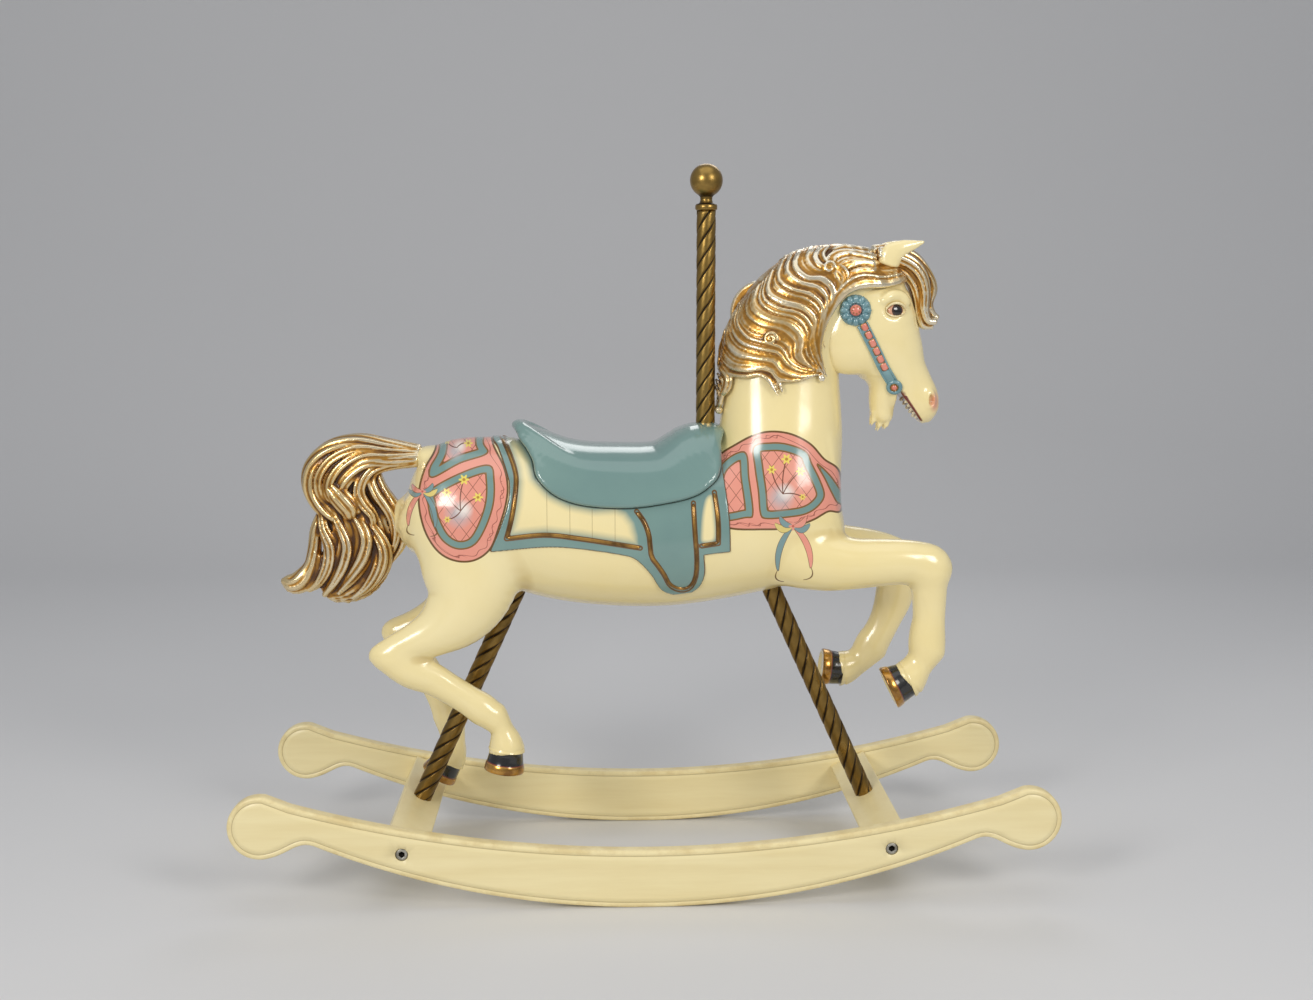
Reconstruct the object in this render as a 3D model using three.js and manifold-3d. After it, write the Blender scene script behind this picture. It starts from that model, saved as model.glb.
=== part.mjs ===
// Carousel horse on a rocking base.
// Units are millimetres. +Z is up, +X is the way the horse faces, and -Y is its carved show side.
// The origin is on the floor, under the middle of the rockers.

import * as THREE from "three";
import { mergeVertices } from "three/addons/utils/BufferGeometryUtils.js";
import Module from "manifold-3d";

const wasm = await Module();
wasm.setup();

// ---------------------------------------------------------------- driving dimensions

const GAP = 0.3; // air left between pieces that touch

// rockers: a bent board with a round paddle at each end
const ROCKER_Y = 197;
const ROCKER_THICK = 24;
const SOLE_RADIUS = 1300;
const SOLE_FLAT = 30; // half length of the flat spot that the part stands on
const TOP_RADIUS = 2000;
const TOP_LOW = 91;
const PADDLE = { x: 592, z: 133.5, r: 49.5 };
const ROCKER_EDGE = 3;

// brass rope-twist tube
const TUBE_R = 15.5;
const TUBE_GROOVE = 1.6;
const TUBE_STARTS = 4;
const TUBE_LEAD = 114;
const TUBE_SIDES = 8;
const TUBE_STEP = 28;
const SOCKET_R = 16;

// upright pole and its ball
const POLE_X = 99;
const POLE_FOOT = 690;
const POLE_TOP = 1068;
const BALL_R = 26;
const BALL_Z = 1115;

// slanted posts, crossbars and their bolts
const POST_FOOT = { x: 371, z: 104 };
const POST_LEAN = 24.6 * (Math.PI / 180);
const POST_LENGTH = 425;
const CROSSBAR = { x: 377, z: 90, width: 64, thick: 48, half: ROCKER_Y - ROCKER_THICK / 2 - GAP };
const BOLT = { headR: 9, headLength: 8, sink: 0.5, shankR: 4, shankLength: 56, hex: 5, hexDepth: 5 };
const BOLT_CLEARANCE = 0.4;

// colours: colour, roughness, metalness
const CREAM = ["#eadfae", 0.25, 0];
const WOOD = ["#eee0af", 0.35, 0];
const BRASS = ["#7d6a3c", 0.35, 1];
const STEEL = ["#9a9890", 0.35, 1];

// ---------------------------------------------------------------- solids from plain geometry

// The same faces with shared corners and nothing but their places.
function welded(geometry) {
  const bare = geometry.clone();
  bare.deleteAttribute("normal");
  bare.deleteAttribute("uv");
  return mergeVertices(bare, 1e-4);
}

function toSolid(geometry) {
  const shape = welded(geometry);
  const mesh = new wasm.Mesh({
    numProp: 3,
    vertProperties: new Float32Array(shape.attributes.position.array),
    triVerts: new Uint32Array(shape.index.array),
  });
  return new wasm.Manifold(mesh);
}

function toGeometry(solid) {
  const mesh = solid.getMesh();
  const geometry = new THREE.BufferGeometry();
  geometry.setAttribute("position", new THREE.BufferAttribute(mesh.vertProperties, 3));
  geometry.setIndex(new THREE.BufferAttribute(mesh.triVerts, 1));
  return geometry;
}

// Keeps the largest shell of a joined body, which fills the small voids between forms that cross.
function outerShell(geometry) {
  const index = geometry.index.array;
  const place = geometry.attributes.position;
  const parent = Array.from({ length: place.count }, (_, i) => i);
  const root = (i) => {
    let top = i;
    while (parent[top] !== top) top = parent[top];
    parent[i] = top;
    return top;
  };
  const corner = (k) => new THREE.Vector3().fromBufferAttribute(place, index[k]);
  const volume = new Map();
  for (let k = 0; k < index.length; k += 3) {
    parent[root(index[k])] = root(index[k + 2]);
    parent[root(index[k + 1])] = root(index[k + 2]);
  }
  for (let k = 0; k < index.length; k += 3) {
    const shell = root(index[k]);
    const part = corner(k).dot(corner(k + 1).cross(corner(k + 2)));
    volume.set(shell, (volume.get(shell) ?? 0) + part);
  }
  const largest = [...volume.entries()].reduce((a, b) => (b[1] > a[1] ? b : a))[0];
  const kept = [];
  for (let k = 0; k < index.length; k += 3) {
    if (root(index[k]) === largest) kept.push(index[k], index[k + 1], index[k + 2]);
  }
  const outer = new THREE.BufferGeometry();
  outer.setAttribute("position", place.clone());
  outer.setIndex(kept);
  return outer;
}

function unite(geometries) {
  return geometries.map(toSolid).reduce((whole, solid) => whole.add(solid));
}

function mirrored(geometry) {
  const other = welded(geometry).scale(1, -1, 1);
  other.setIndex(Array.from(other.index.array).reverse());
  return other;
}

// ---------------------------------------------------------------- sweeps

// A row is one station of a sweep: x, y, z of its centre, half depth in the side plane, half width across.
function spline(rows) {
  const centres = rows.map((row) => new THREE.Vector3(row[0], row[1], row[2]));
  const sizes = rows.map((row) => new THREE.Vector3(row[3], row[4], 0));
  return {
    centre: new THREE.CatmullRomCurve3(centres, false, "catmullrom", 0.5),
    size: new THREE.CatmullRomCurve3(sizes, false, "catmullrom", 0.5),
  };
}

function frameAt(curve, t) {
  const tangent = curve.centre.getTangent(t);
  const depthAxis = new THREE.Vector3(-tangent.z, 0, tangent.x).normalize();
  const widthAxis = new THREE.Vector3().crossVectors(tangent, depthAxis);
  return { at: curve.centre.getPoint(t), size: curve.size.getPoint(t), tangent, depthAxis, widthAxis };
}

function power(value, exponent) {
  return Math.sign(value) * Math.abs(value) ** exponent;
}

// A closed body through the stations, with sections of `sides` corners; `square` above 2 fills the corners out.
function sweep(rows, { sides = 12, steps = 10, square = 2, grow = 0 } = {}) {
  const curve = spline(rows);
  const points = [];
  const faces = [];
  for (let i = 0; i <= steps; i += 1) {
    const f = frameAt(curve, i / steps);
    for (let j = 0; j < sides; j += 1) {
      const angle = (2 * Math.PI * (j + 0.5)) / sides;
      const point = f.at.clone();
      point.addScaledVector(f.depthAxis, (f.size.x + grow) * power(Math.cos(angle), 2 / square));
      point.addScaledVector(f.widthAxis, (f.size.y + grow) * power(Math.sin(angle), 2 / square));
      points.push(...point.toArray());
    }
  }
  const start = (steps + 1) * sides;
  points.push(...curve.centre.getPoint(0).toArray(), ...curve.centre.getPoint(1).toArray());
  for (let j = 0; j < sides; j += 1) {
    const next = (j + 1) % sides;
    for (let i = 0; i < steps; i += 1) {
      const a = i * sides;
      const b = a + sides;
      faces.push(a + j, a + next, b + next, a + j, b + next, b + j);
    }
    faces.push(start, next, j, start + 1, steps * sides + j, steps * sides + next);
  }
  const geometry = new THREE.BufferGeometry();
  geometry.setAttribute("position", new THREE.Float32BufferAttribute(points, 3));
  geometry.setIndex(faces);
  return geometry;
}

// ---------------------------------------------------------------- the side drawing

// Lines on the flanks are laid out on the middle plane and carried outwards along rays from a drawing point
// that stands well off the show side, so that they keep their places when seen from there.
const DRAW_FROM = new THREE.Vector3(-70, -2565, 975);

function carry(x, z, y) {
  const k = (DRAW_FROM.y + Math.abs(y)) / DRAW_FROM.y;
  return [DRAW_FROM.x + (x - DRAW_FROM.x) * k, DRAW_FROM.z + (z - DRAW_FROM.z) * k];
}

// A block that stands over a closed outline of the side drawing, from the middle plane out to both sides.
function drawnBlock(outline, reach) {
  const flat = new THREE.Shape(outline.map(([x, z]) => new THREE.Vector2(x, z)));
  const geometry = new THREE.ExtrudeGeometry(flat, { depth: 2 * reach, steps: 2, bevelEnabled: false });
  geometry.rotateX(Math.PI / 2);
  geometry.translate(0, reach, 0);
  const place = geometry.attributes.position;
  for (let i = 0; i < place.count; i += 1) {
    const [x, z] = carry(place.getX(i), place.getZ(i), place.getY(i));
    place.setXYZ(i, x, place.getY(i), z);
  }
  return toSolid(geometry);
}

// Half width of a sweep at a point of its side view, or 0 outside it.
function halfWidth(rows, x, z, square = 2) {
  const curve = spline(rows);
  let best = 0;
  for (let i = 0; i <= 60; i += 1) {
    const f = frameAt(curve, i / 60);
    const along = (x - f.at.x) * f.tangent.x + (z - f.at.z) * f.tangent.z;
    if (Math.abs(along) < 8) {
      const off = Math.abs((x - f.at.x) * f.depthAxis.x + (z - f.at.z) * f.depthAxis.z) / f.size.x;
      best = Math.max(best, off < 1 ? f.size.y * (1 - off ** square) ** (1 / square) : 0);
    }
  }
  return best;
}

// ---------------------------------------------------------------- rope-twist tubes and the finial

// A round rod along +Z with shallow grooves winding round it.
function twistedRod(length) {
  const steps = Math.round(length / TUBE_STEP);
  const perStart = TUBE_SIDES / TUBE_STARTS;
  const ring = [];
  for (let j = 0; j < TUBE_SIDES; j += 1) {
    const angle = (2 * Math.PI * j) / TUBE_SIDES;
    const radius = j % perStart === 0 ? TUBE_R - TUBE_GROOVE : TUBE_R;
    ring.push(new THREE.Vector2(radius * Math.cos(angle), radius * Math.sin(angle)));
  }
  const geometry = new THREE.ExtrudeGeometry(new THREE.Shape(ring), { depth: length, steps, bevelEnabled: false });
  const place = geometry.attributes.position;
  for (let i = 0; i < place.count; i += 1) {
    const turn = (2 * Math.PI * place.getZ(i)) / TUBE_LEAD;
    const x = place.getX(i);
    const y = place.getY(i);
    place.setX(i, x * Math.cos(turn) - y * Math.sin(turn));
    place.setY(i, x * Math.sin(turn) + y * Math.cos(turn));
  }
  return geometry;
}

function roundRod(radius, length, sides = 10) {
  const geometry = new THREE.CylinderGeometry(radius, radius, length, sides);
  geometry.rotateX(Math.PI / 2);
  geometry.translate(0, 0, length / 2);
  return geometry;
}

// Puts a shape that stands on +Z at a post's foot, leaning in over the middle; side is 1 in front, -1 behind.
function leanOnPost(geometry, side, down = 0) {
  geometry.translate(0, 0, -down);
  geometry.rotateY(-side * POST_LEAN);
  geometry.translate(side * POST_FOOT.x, 0, POST_FOOT.z);
  return geometry;
}

function finialGeometry() {
  const profile = [
    [0, 0], [15.5, 0], [17.5, 3], [17.5, 8], [12, 11], [9.5, 15], [9.5, 20], [12, 22],
  ].map(([r, z]) => new THREE.Vector2(r, POLE_TOP + GAP + z));
  const from = Math.asin((POLE_TOP + 24 - BALL_Z) / BALL_R);
  const rings = 5;
  for (let i = 0; i <= rings; i += 1) {
    const angle = from + ((Math.PI / 2 - from) * i) / rings;
    const radius = i === rings ? 0 : BALL_R * Math.cos(angle);
    profile.push(new THREE.Vector2(radius, BALL_Z + BALL_R * Math.sin(angle)));
  }
  const geometry = new THREE.LatheGeometry(profile, 12);
  geometry.rotateX(Math.PI / 2);
  return geometry;
}

// ---------------------------------------------------------------- rockers, crossbars and bolts

function arcHeight(radius, x) {
  return radius - Math.sqrt(radius ** 2 - x ** 2);
}

function rockerHalf() {
  const points = [new THREE.Vector2(SOLE_FLAT, 0)];
  const sag = arcHeight(SOLE_RADIUS, SOLE_FLAT);
  for (let x = 90; x <= 510; x += 70) {
    points.push(new THREE.Vector2(x, arcHeight(SOLE_RADIUS, x) - sag));
  }
  const last = points.at(-1);
  const paddleAt = (degrees) => {
    const angle = (degrees * Math.PI) / 180;
    return new THREE.Vector2(PADDLE.x + PADDLE.r * Math.cos(angle), PADDLE.z + PADDLE.r * Math.sin(angle));
  };
  const lobe = paddleAt(-100);
  const notch = new THREE.CubicBezierCurve(
    last,
    new THREE.Vector2(last.x + 26, last.y + 10),
    new THREE.Vector2(lobe.x - 34, lobe.y + 6),
    lobe,
  );
  points.push(...notch.getPoints(3).slice(1));
  for (let degrees = -65; degrees <= 100; degrees += 33) {
    points.push(paddleAt(degrees));
  }
  for (let x = 530; x > 0; x -= 106) {
    points.push(new THREE.Vector2(x, TOP_LOW + arcHeight(TOP_RADIUS, x)));
  }
  return points;
}

function rockerSolid(side) {
  const right = rockerHalf();
  const left = right.map((p) => new THREE.Vector2(-p.x, p.y)).reverse();
  const shape = new THREE.Shape([...right, ...left]);
  const board = new THREE.ExtrudeGeometry(shape, {
    depth: ROCKER_THICK - 2 * ROCKER_EDGE,
    bevelThickness: ROCKER_EDGE,
    bevelSize: ROCKER_EDGE,
    bevelOffset: -ROCKER_EDGE,
    bevelSegments: 1,
  });
  board.rotateX(Math.PI / 2);
  board.translate(0, side * ROCKER_Y + ROCKER_THICK / 2 - ROCKER_EDGE, 0);
  return [1, -1].reduce((solid, end) => solid.subtract(boltHole(side, end)), toSolid(board));
}

// Puts a shape that runs along +Z from a rocker's outer face inwards, at one of the four bolts.
function atBolt(geometry, side, end) {
  geometry.rotateX((side * Math.PI) / 2);
  return geometry.translate(end * CROSSBAR.x, side * (ROCKER_Y + ROCKER_THICK / 2), CROSSBAR.z);
}

function boltSolid(side, end) {
  const head = roundRod(BOLT.headR, BOLT.headLength).translate(0, 0, BOLT.sink);
  const shank = roundRod(BOLT.shankR, BOLT.shankLength).translate(0, 0, BOLT.sink);
  const hex = roundRod(BOLT.hex, 2 * BOLT.hexDepth, 6).translate(0, 0, BOLT.sink - BOLT.hexDepth);
  const whole = unite([atBolt(head, side, end), atBolt(shank, side, end)]);
  return whole.subtract(toSolid(atBolt(hex, side, end)));
}

// The counterbore and hole that the bolt sits in.
function boltHole(side, end) {
  const mouth = roundRod(BOLT.headR + 1, BOLT.sink + BOLT.headLength + 1 + BOLT_CLEARANCE).translate(0, 0, -1);
  const bore = roundRod(BOLT.shankR + BOLT_CLEARANCE, BOLT.sink + BOLT.shankLength + BOLT_CLEARANCE);
  return unite([atBolt(mouth, side, end), atBolt(bore, side, end)]);
}

function crossbarSolid(end) {
  const bar = new THREE.BoxGeometry(CROSSBAR.width, 2 * CROSSBAR.half, CROSSBAR.thick);
  bar.rotateY(-end * POST_LEAN);
  bar.translate(end * CROSSBAR.x, 0, CROSSBAR.z);
  const socket = toSolid(leanOnPost(roundRod(SOCKET_R, POST_LENGTH), end, GAP));
  return [1, -1].reduce(
    (solid, side) => solid.subtract(boltHole(side, end)),
    toSolid(bar).subtract(socket),
  );
}

// ---------------------------------------------------------------- stations of the horse

// How finely each kind of form is cut.
const BARREL = { sides: 12, steps: 9, square: 2.15 };
const LIMB = { sides: 7, steps: 5 };
const FOOT = { sides: 7, steps: 5 };
const LOCK = { sides: 4, steps: 4 };
const TAIL_LOCK = { sides: 4, steps: 5 };

// Barrel, from the back of the rump to the chest.
const TORSO = [
  [-371, 0, 624, 50, 44],
  [-362, 0, 621, 70, 68],
  [-342, 0, 611, 90, 88],
  [-310, 0, 601, 104, 100],
  [-260, 0, 594, 116, 108],
  [-200, 0, 583, 118, 111],
  [-120, 0, 562, 118, 114],
  [-40, 0, 555, 120, 115],
  [40, 0, 556, 121, 115],
  [120, 0, 568, 122, 113],
  [200, 0, 579, 116, 106],
  [260, 0, 588, 104, 97],
  [295, 0, 603, 82, 82],
  [309, 0, 612, 60, 60],
];

// Neck, from inside the chest up to the poll.
const NECK = [
  [214, 0, 600, 84, 92],
  [217, 0, 650, 96, 92],
  [220, 0, 700, 100, 84],
  [221, 0, 750, 97, 74],
  [221, 0, 800, 93, 66],
  [226, 0, 850, 89, 60],
  [246, 0, 898, 84, 55],
  [284, 0, 932, 76, 50],
  [326, 0, 950, 62, 46],
  [360, 0, 956, 46, 40],
];

// Head, from the poll down to the lips.
const HEAD = [
  [345, 0, 940, 56, 40],
  [352, 0, 918, 74, 50],
  [363, 0, 886, 75, 52],
  [377, 0, 864, 68, 50],
  [393, 0, 842, 58, 45],
  [412, 0, 815, 43, 38],
  [428, 0, 790, 38, 34],
  [442, 0, 768, 34, 33],
  [451, 0, 750, 23, 28],
  [454, 0, 734, 11, 16],
];

// Lower jaw, hanging a little open, with its chin.
const JAW = [
  [383, 0, 806, 18, 30],
  [383, 0, 780, 20, 26],
  [384, 0, 758, 20, 22],
  [386, 0, 742, 17, 20],
  [391, 0, 728, 7, 12],
];

const THIGH_NEAR = [
  [-286, -58, 600, 72, 42],
  [-281, -62, 555, 78, 48],
  [-279, -66, 510, 73, 49],
  [-283, -70, 470, 61, 45],
  [-302, -75, 433, 51, 38],
  [-331, -79, 409, 39, 31],
  [-362, -81, 394, 31, 26],
  [-392, -82, 381, 26, 22],
  [-416, -82, 372, 20, 17],
  [-430, -82, 371, 11, 10],
];

const CANNON_HIND_NEAR = [
  [-412, -82, 370, 17, 18],
  [-398, -82, 362, 25, 22],
  [-370, -82, 347, 29, 23],
  [-338, -82, 333, 26, 21],
  [-310, -82, 316, 24, 20],
  [-282, -82, 298, 24, 21],
  [-259, -82, 282, 26, 23],
  [-243, -82, 270, 22, 21],
];

const HOOF_HIND_NEAR = [
  [-246, -82, 282, 24, 21],
  [-236, -82, 263, 20, 20],
  [-228, -82, 248, 18, 20],
  [-224, -82, 232, 24, 24],
  [-222, -82, 217, 29, 28],
  [-223, -82, 211, 26, 27],
  [-225, -82, 196, 29, 29],
  [-227, -82, 182, 32, 31],
];

const THIGH_FAR = [
  [-286, 58, 600, 72, 42],
  [-281, 62, 555, 78, 48],
  [-280, 66, 510, 70, 49],
  [-286, 70, 468, 58, 45],
  [-308, 75, 428, 48, 38],
  [-338, 78, 403, 37, 31],
  [-368, 80, 388, 30, 26],
  [-396, 80, 378, 26, 22],
  [-418, 80, 374, 20, 17],
  [-431, 80, 373, 11, 10],
];

const CANNON_HIND_FAR = [
  [-416, 80, 378, 15, 16],
  [-408, 80, 364, 25, 22],
  [-391, 80, 340, 28, 23],
  [-371, 80, 313, 26, 21],
  [-354, 80, 286, 24, 20],
  [-341, 80, 259, 24, 20],
  [-330, 80, 232, 26, 22],
  [-326, 80, 216, 22, 20],
];

const HOOF_HIND_FAR = [
  [-328, 80, 226, 25, 21],
  [-324, 80, 200, 22, 20],
  [-323, 80, 182, 21, 20],
  [-326, 80, 164, 26, 25],
  [-331, 80, 151, 29, 28],
  [-334, 80, 145, 26, 27],
  [-341, 80, 134, 29, 29],
  [-349, 80, 123, 31, 31],
];

const FOREARM_NEAR = [
  [215, -46, 540, 60, 40],
  [250, -58, 527, 56, 46],
  [290, -68, 516, 48, 42],
  [330, -74, 513, 41, 36],
  [370, -77, 515, 38, 33],
  [410, -78, 516, 36, 31],
  [440, -78, 512, 35, 29],
  [462, -78, 506, 29, 25],
  [476, -78, 502, 15, 14],
];

const CANNON_FORE_NEAR = [
  [449, -78, 522, 24, 22],
  [451, -78, 500, 30, 27],
  [452, -78, 476, 29, 25],
  [453, -78, 450, 27, 22],
  [453, -78, 424, 26, 21],
  [451, -78, 398, 29, 23],
  [451, -78, 376, 29, 24],
  [450, -78, 364, 22, 20],
];

const HOOF_FORE_NEAR = [
  [456, -78, 378, 25, 21],
  [445, -78, 358, 23, 21],
  [435, -78, 345, 24, 22],
  [426, -78, 331, 28, 26],
  [421, -78, 325, 31, 28],
  [414, -78, 322, 29, 27],
  [402, -78, 316, 32, 30],
  [390, -78, 310, 35, 32],
];

const FOREARM_FAR = [
  [215, 46, 540, 60, 40],
  [250, 58, 527, 56, 46],
  [290, 68, 516, 48, 42],
  [330, 74, 512, 41, 36],
  [370, 77, 508, 38, 33],
  [405, 78, 500, 37, 31],
  [430, 78, 490, 35, 29],
  [450, 78, 480, 27, 24],
  [462, 78, 474, 13, 13],
];

const CANNON_FORE_FAR = [
  [438, 78, 500, 24, 22],
  [434, 78, 478, 33, 27],
  [429, 78, 450, 33, 25],
  [423, 78, 420, 31, 22],
  [413, 78, 393, 27, 21],
  [401, 78, 367, 26, 22],
  [388, 78, 345, 28, 23],
  [380, 78, 334, 22, 20],
];

const HOOF_FORE_FAR = [
  [392, 78, 344, 26, 21],
  [376, 78, 327, 24, 21],
  [362, 78, 315, 23, 22],
  [347, 78, 307, 27, 26],
  [338, 78, 304, 30, 28],
  [331, 78, 304, 28, 27],
  [317, 78, 306, 29, 29],
  [302, 78, 308, 30, 31],
];

const EAR = [
  [386, -26, 985, 17, 12],
  [391, -28, 1000, 18, 10],
  [406, -29, 1009, 13, 8],
  [424, -29, 1014, 8, 5],
  [441, -29, 1019, 2, 2],
];

// Seat of the saddle, from the cantle to the pommel.
const SEAT = [
  [-204, 0, 716, 10, 20],
  [-192, 0, 704, 19, 48],
  [-168, 0, 688, 25, 72],
  [-135, 0, 668, 31, 86],
  [-95, 0, 652, 41, 93],
  [-45, 0, 644, 48, 96],
  [5, 0, 643, 49, 96],
  [38, 0, 649, 49, 94],
  [62, 0, 662, 53, 89],
  [82, 0, 673, 57, 82],
  [104, 0, 678, 54, 72],
  [117, 0, 674, 46, 60],
  [125, 0, 664, 28, 42],
];

// Outlines of the side drawing: the saddle's skirt, the saddle cloth and the ground of the mane.
const SKIRT_LINE = [
  [-205, 760], [-205, 715], [-190, 690], [-180, 670], [-174, 643], [-150, 617], [-120, 602], [-80, 594],
  [-20, 592], [40, 600], [80, 610], [106, 626], [124, 650], [126, 700], [116, 760],
];
const CLOTH_LINE = [
  [-245, 760], [-245, 712], [-235, 690], [-222, 650], [-218, 628], [-222, 598], [-235, 560], [-252, 522],
  [-160, 529], [-100, 525], [-40, 516], [-14, 508], [10, 484], [26, 460], [45, 451], [70, 451], [91, 463],
  [100, 484], [99, 515], [142, 520], [141, 560], [137, 600], [130, 645], [124, 690], [115, 722], [115, 760],
];
const MANE_LINE = [
  [110, 770], [112, 805], [112, 850], [130, 905], [150, 945], [190, 980], [240, 1015], [300, 1030],
  [370, 1022], [418, 992], [425, 962], [405, 951], [375, 948], [345, 945], [318, 933], [300, 910], [287, 880],
  [283, 850], [290, 818], [276, 806], [240, 804], [200, 812], [155, 814], [138, 806], [130, 780],
];

const CLOTH_RISE = 3;
const SKIRT_RISE = 10;
const MANE_RISE = 11;
const LOCK_LIFT = 7;

// A lock of the mane as a run of steps from where it leaves the crest, for a lock of full size.
const LOCK_WAVE = [[0, 0], [-4, -28], [14, -46], [48, -56], [68, -76], [67, -106], [76, -130], [92, -150]];

// Where the locks leave the crest, and their sizes.
const CREST_LOCKS = [
  [130, 868, 0.5], [142, 896, 0.66], [160, 924, 0.8], [180, 944, 0.9], [200, 960, 0.94], [222, 978, 0.86],
  [246, 992, 0.72], [272, 1000, 0.58],
];

// Locks that are laid by hand in the side drawing, each from its root to its tip.
const HEM_LOCK = [[122, 838], [134, 818], [162, 820], [190, 820], [208, 808], [216, 792], [222, 780]];
const BACK_LOCK = [[118, 850], [124, 825], [131, 802], [128, 782], [117, 766]];
const BROW_LOCKS = [
  [[404, 958], [376, 955], [345, 954], [318, 942], [298, 916], [284, 882], [281, 848], [288, 815], [292, 800]],
  [[408, 974], [376, 972], [345, 970], [318, 957], [294, 932], [272, 900], [262, 868], [268, 838], [284, 812]],
  [[390, 992], [360, 990], [332, 988], [308, 975], [292, 952]],
];
const FORELOCKS = [
  [[372, 999], [400, 996], [424, 984], [440, 964], [446, 940], [446, 915], [452, 896], [466, 893]],
  [[365, 990], [392, 985], [416, 974], [430, 955], [437, 930], [440, 905], [446, 888]],
];

// Solid middle of the tail, from its root to above its tips.
const TAIL_CORE = [
  [-358, 0, 682, 12, 16],
  [-400, 0, 688, 17, 21],
  [-440, 0, 683, 27, 24],
  [-478, 0, 656, 39, 26],
  [-484, 0, 620, 45, 26],
  [-462, 0, 580, 50, 25],
  [-455, 0, 540, 52, 24],
  [-468, 0, 500, 46, 22],
  [-490, 0, 470, 30, 18],
  [-505, 0, 455, 12, 10],
];

const TAIL_LOCKS = [
  { size: 15, thick: 28, line: [[-362, 689], [-410, 697], [-458, 702], [-502, 690], [-530, 662],
    [-533, 628], [-514, 597], [-486, 578], [-463, 582]] },
  { size: 17, thick: 30, line: [[-362, 680], [-410, 681], [-452, 683], [-488, 670], [-507, 645],
    [-505, 620], [-488, 602], [-470, 600]] },
  { size: 16, thick: 32, line: [[-362, 674], [-405, 674], [-440, 668], [-466, 652], [-480, 630], [-474, 612]] },
  { size: 16, thick: 27, line: [[-425, 678], [-448, 652], [-440, 622], [-424, 594], [-412, 562], [-410, 527],
    [-426, 492], [-448, 462]] },
  { size: 13, thick: 20, line: [[-420, 668], [-428, 648], [-414, 618], [-398, 592], [-388, 562], [-393, 532],
    [-412, 498]] },
  { size: 17, thick: 30, line: [[-474, 636], [-456, 608], [-442, 578], [-442, 545], [-455, 510], [-478, 474],
    [-502, 450]] },
  { size: 18, thick: 28, line: [[-492, 600], [-478, 570], [-472, 535], [-486, 500], [-508, 468], [-528, 450]] },
  { size: 15, thick: 24, line: [[-515, 600], [-520, 565], [-514, 530], [-522, 495], [-545, 466]] },
  { size: 12, thick: 18, line: [[-512, 600], [-530, 560], [-532, 522], [-545, 494], [-566, 478], [-585, 476]] },
];

const RUMP_KNOB = [
  [-345, 0, 588, 34, 30],
  [-368, 0, 586, 30, 26],
  [-388, 0, 584, 25, 22],
  [-402, 0, 582, 18, 16],
];

// ---------------------------------------------------------------- carving laid on the flanks

// A lock that follows a line of the side drawing, lying on the neck and tapering to both ends.
function neckLock(line, size, thick) {
  const rows = line.map(([x, z], i) => {
    const flat = carry(x, z, 50);
    const y = LOCK_LIFT + Math.max(halfWidth(NECK, ...flat), halfWidth(HEAD, ...flat));
    const [px, pz] = carry(x, z, y);
    const s = i / (line.length - 1);
    const taper = 0.35 + 0.65 * Math.sin(Math.PI * Math.min(1, 0.25 + 0.75 * s)) ** 0.7;
    return [px, -y, pz, size * taper, thick * taper];
  });
  return sweep(rows, LOCK);
}

function maneGround() {
  const thickNeck = toSolid(sweep(NECK, { sides: 10, steps: 8, grow: MANE_RISE }));
  return thickNeck.intersect(drawnBlock(MANE_LINE, 140));
}

function maneLocks() {
  const locks = CREST_LOCKS.map(([x, z, scale]) => {
    const line = LOCK_WAVE.map(([dx, dz]) => [x + dx * scale, z + dz * scale]);
    return neckLock(line, 6 + 5 * scale, 10);
  });
  locks.push(neckLock(HEM_LOCK, 8, 9));
  locks.push(neckLock(BACK_LOCK, 8, 9));
  BROW_LOCKS.forEach((line) => locks.push(neckLock(line, 9, 10)));
  const farLocks = locks.filter((lock, i) => i % 4 === 0).map(mirrored);
  return [...locks, ...farLocks];
}

function forelocks() {
  const locks = FORELOCKS.map((line, i) => {
    const rows = line.map(([x, z], j) => {
      const taper = Math.min(1, 1.25 - j / line.length);
      return [x, -12 + 10 * i, z, 12 * taper, 18 * taper];
    });
    return sweep(rows, LOCK);
  });
  return [...locks, ...locks.map(mirrored)];
}

function tailLocks() {
  return TAIL_LOCKS.map(({ size, thick, line }) => {
    const rows = line.map(([x, z], i) => {
      const s = i / (line.length - 1);
      const taper = Math.min(1, 0.55 + 1.5 * s, 0.3 + 2.2 * (1 - s));
      return [x, 0, z, size * taper, thick * taper];
    });
    return sweep(rows, TAIL_LOCK);
  });
}

function clothSolid() {
  const barrel = sweep(TORSO, { ...BARREL, grow: CLOTH_RISE });
  const thighs = [THIGH_NEAR, THIGH_FAR].map((rows) => sweep(rows, { ...LIMB, grow: CLOTH_RISE }));
  return unite([barrel, ...thighs]).intersect(drawnBlock(CLOTH_LINE, 160));
}

function skirtSolid() {
  const barrel = toSolid(sweep(TORSO, { ...BARREL, grow: SKIRT_RISE }));
  return barrel.intersect(drawnBlock(SKIRT_LINE, 160));
}

// A flat form that lies on the cheek at a point of the side drawing.
function onCheek(geometry, x, z) {
  const flat = carry(x, z, 48);
  const y = halfWidth(HEAD, flat[0], flat[1]);
  const [px, pz] = carry(x, z, y);
  geometry.rotateX(Math.PI / 2);
  geometry.translate(px, -y, pz);
  return geometry;
}

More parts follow.
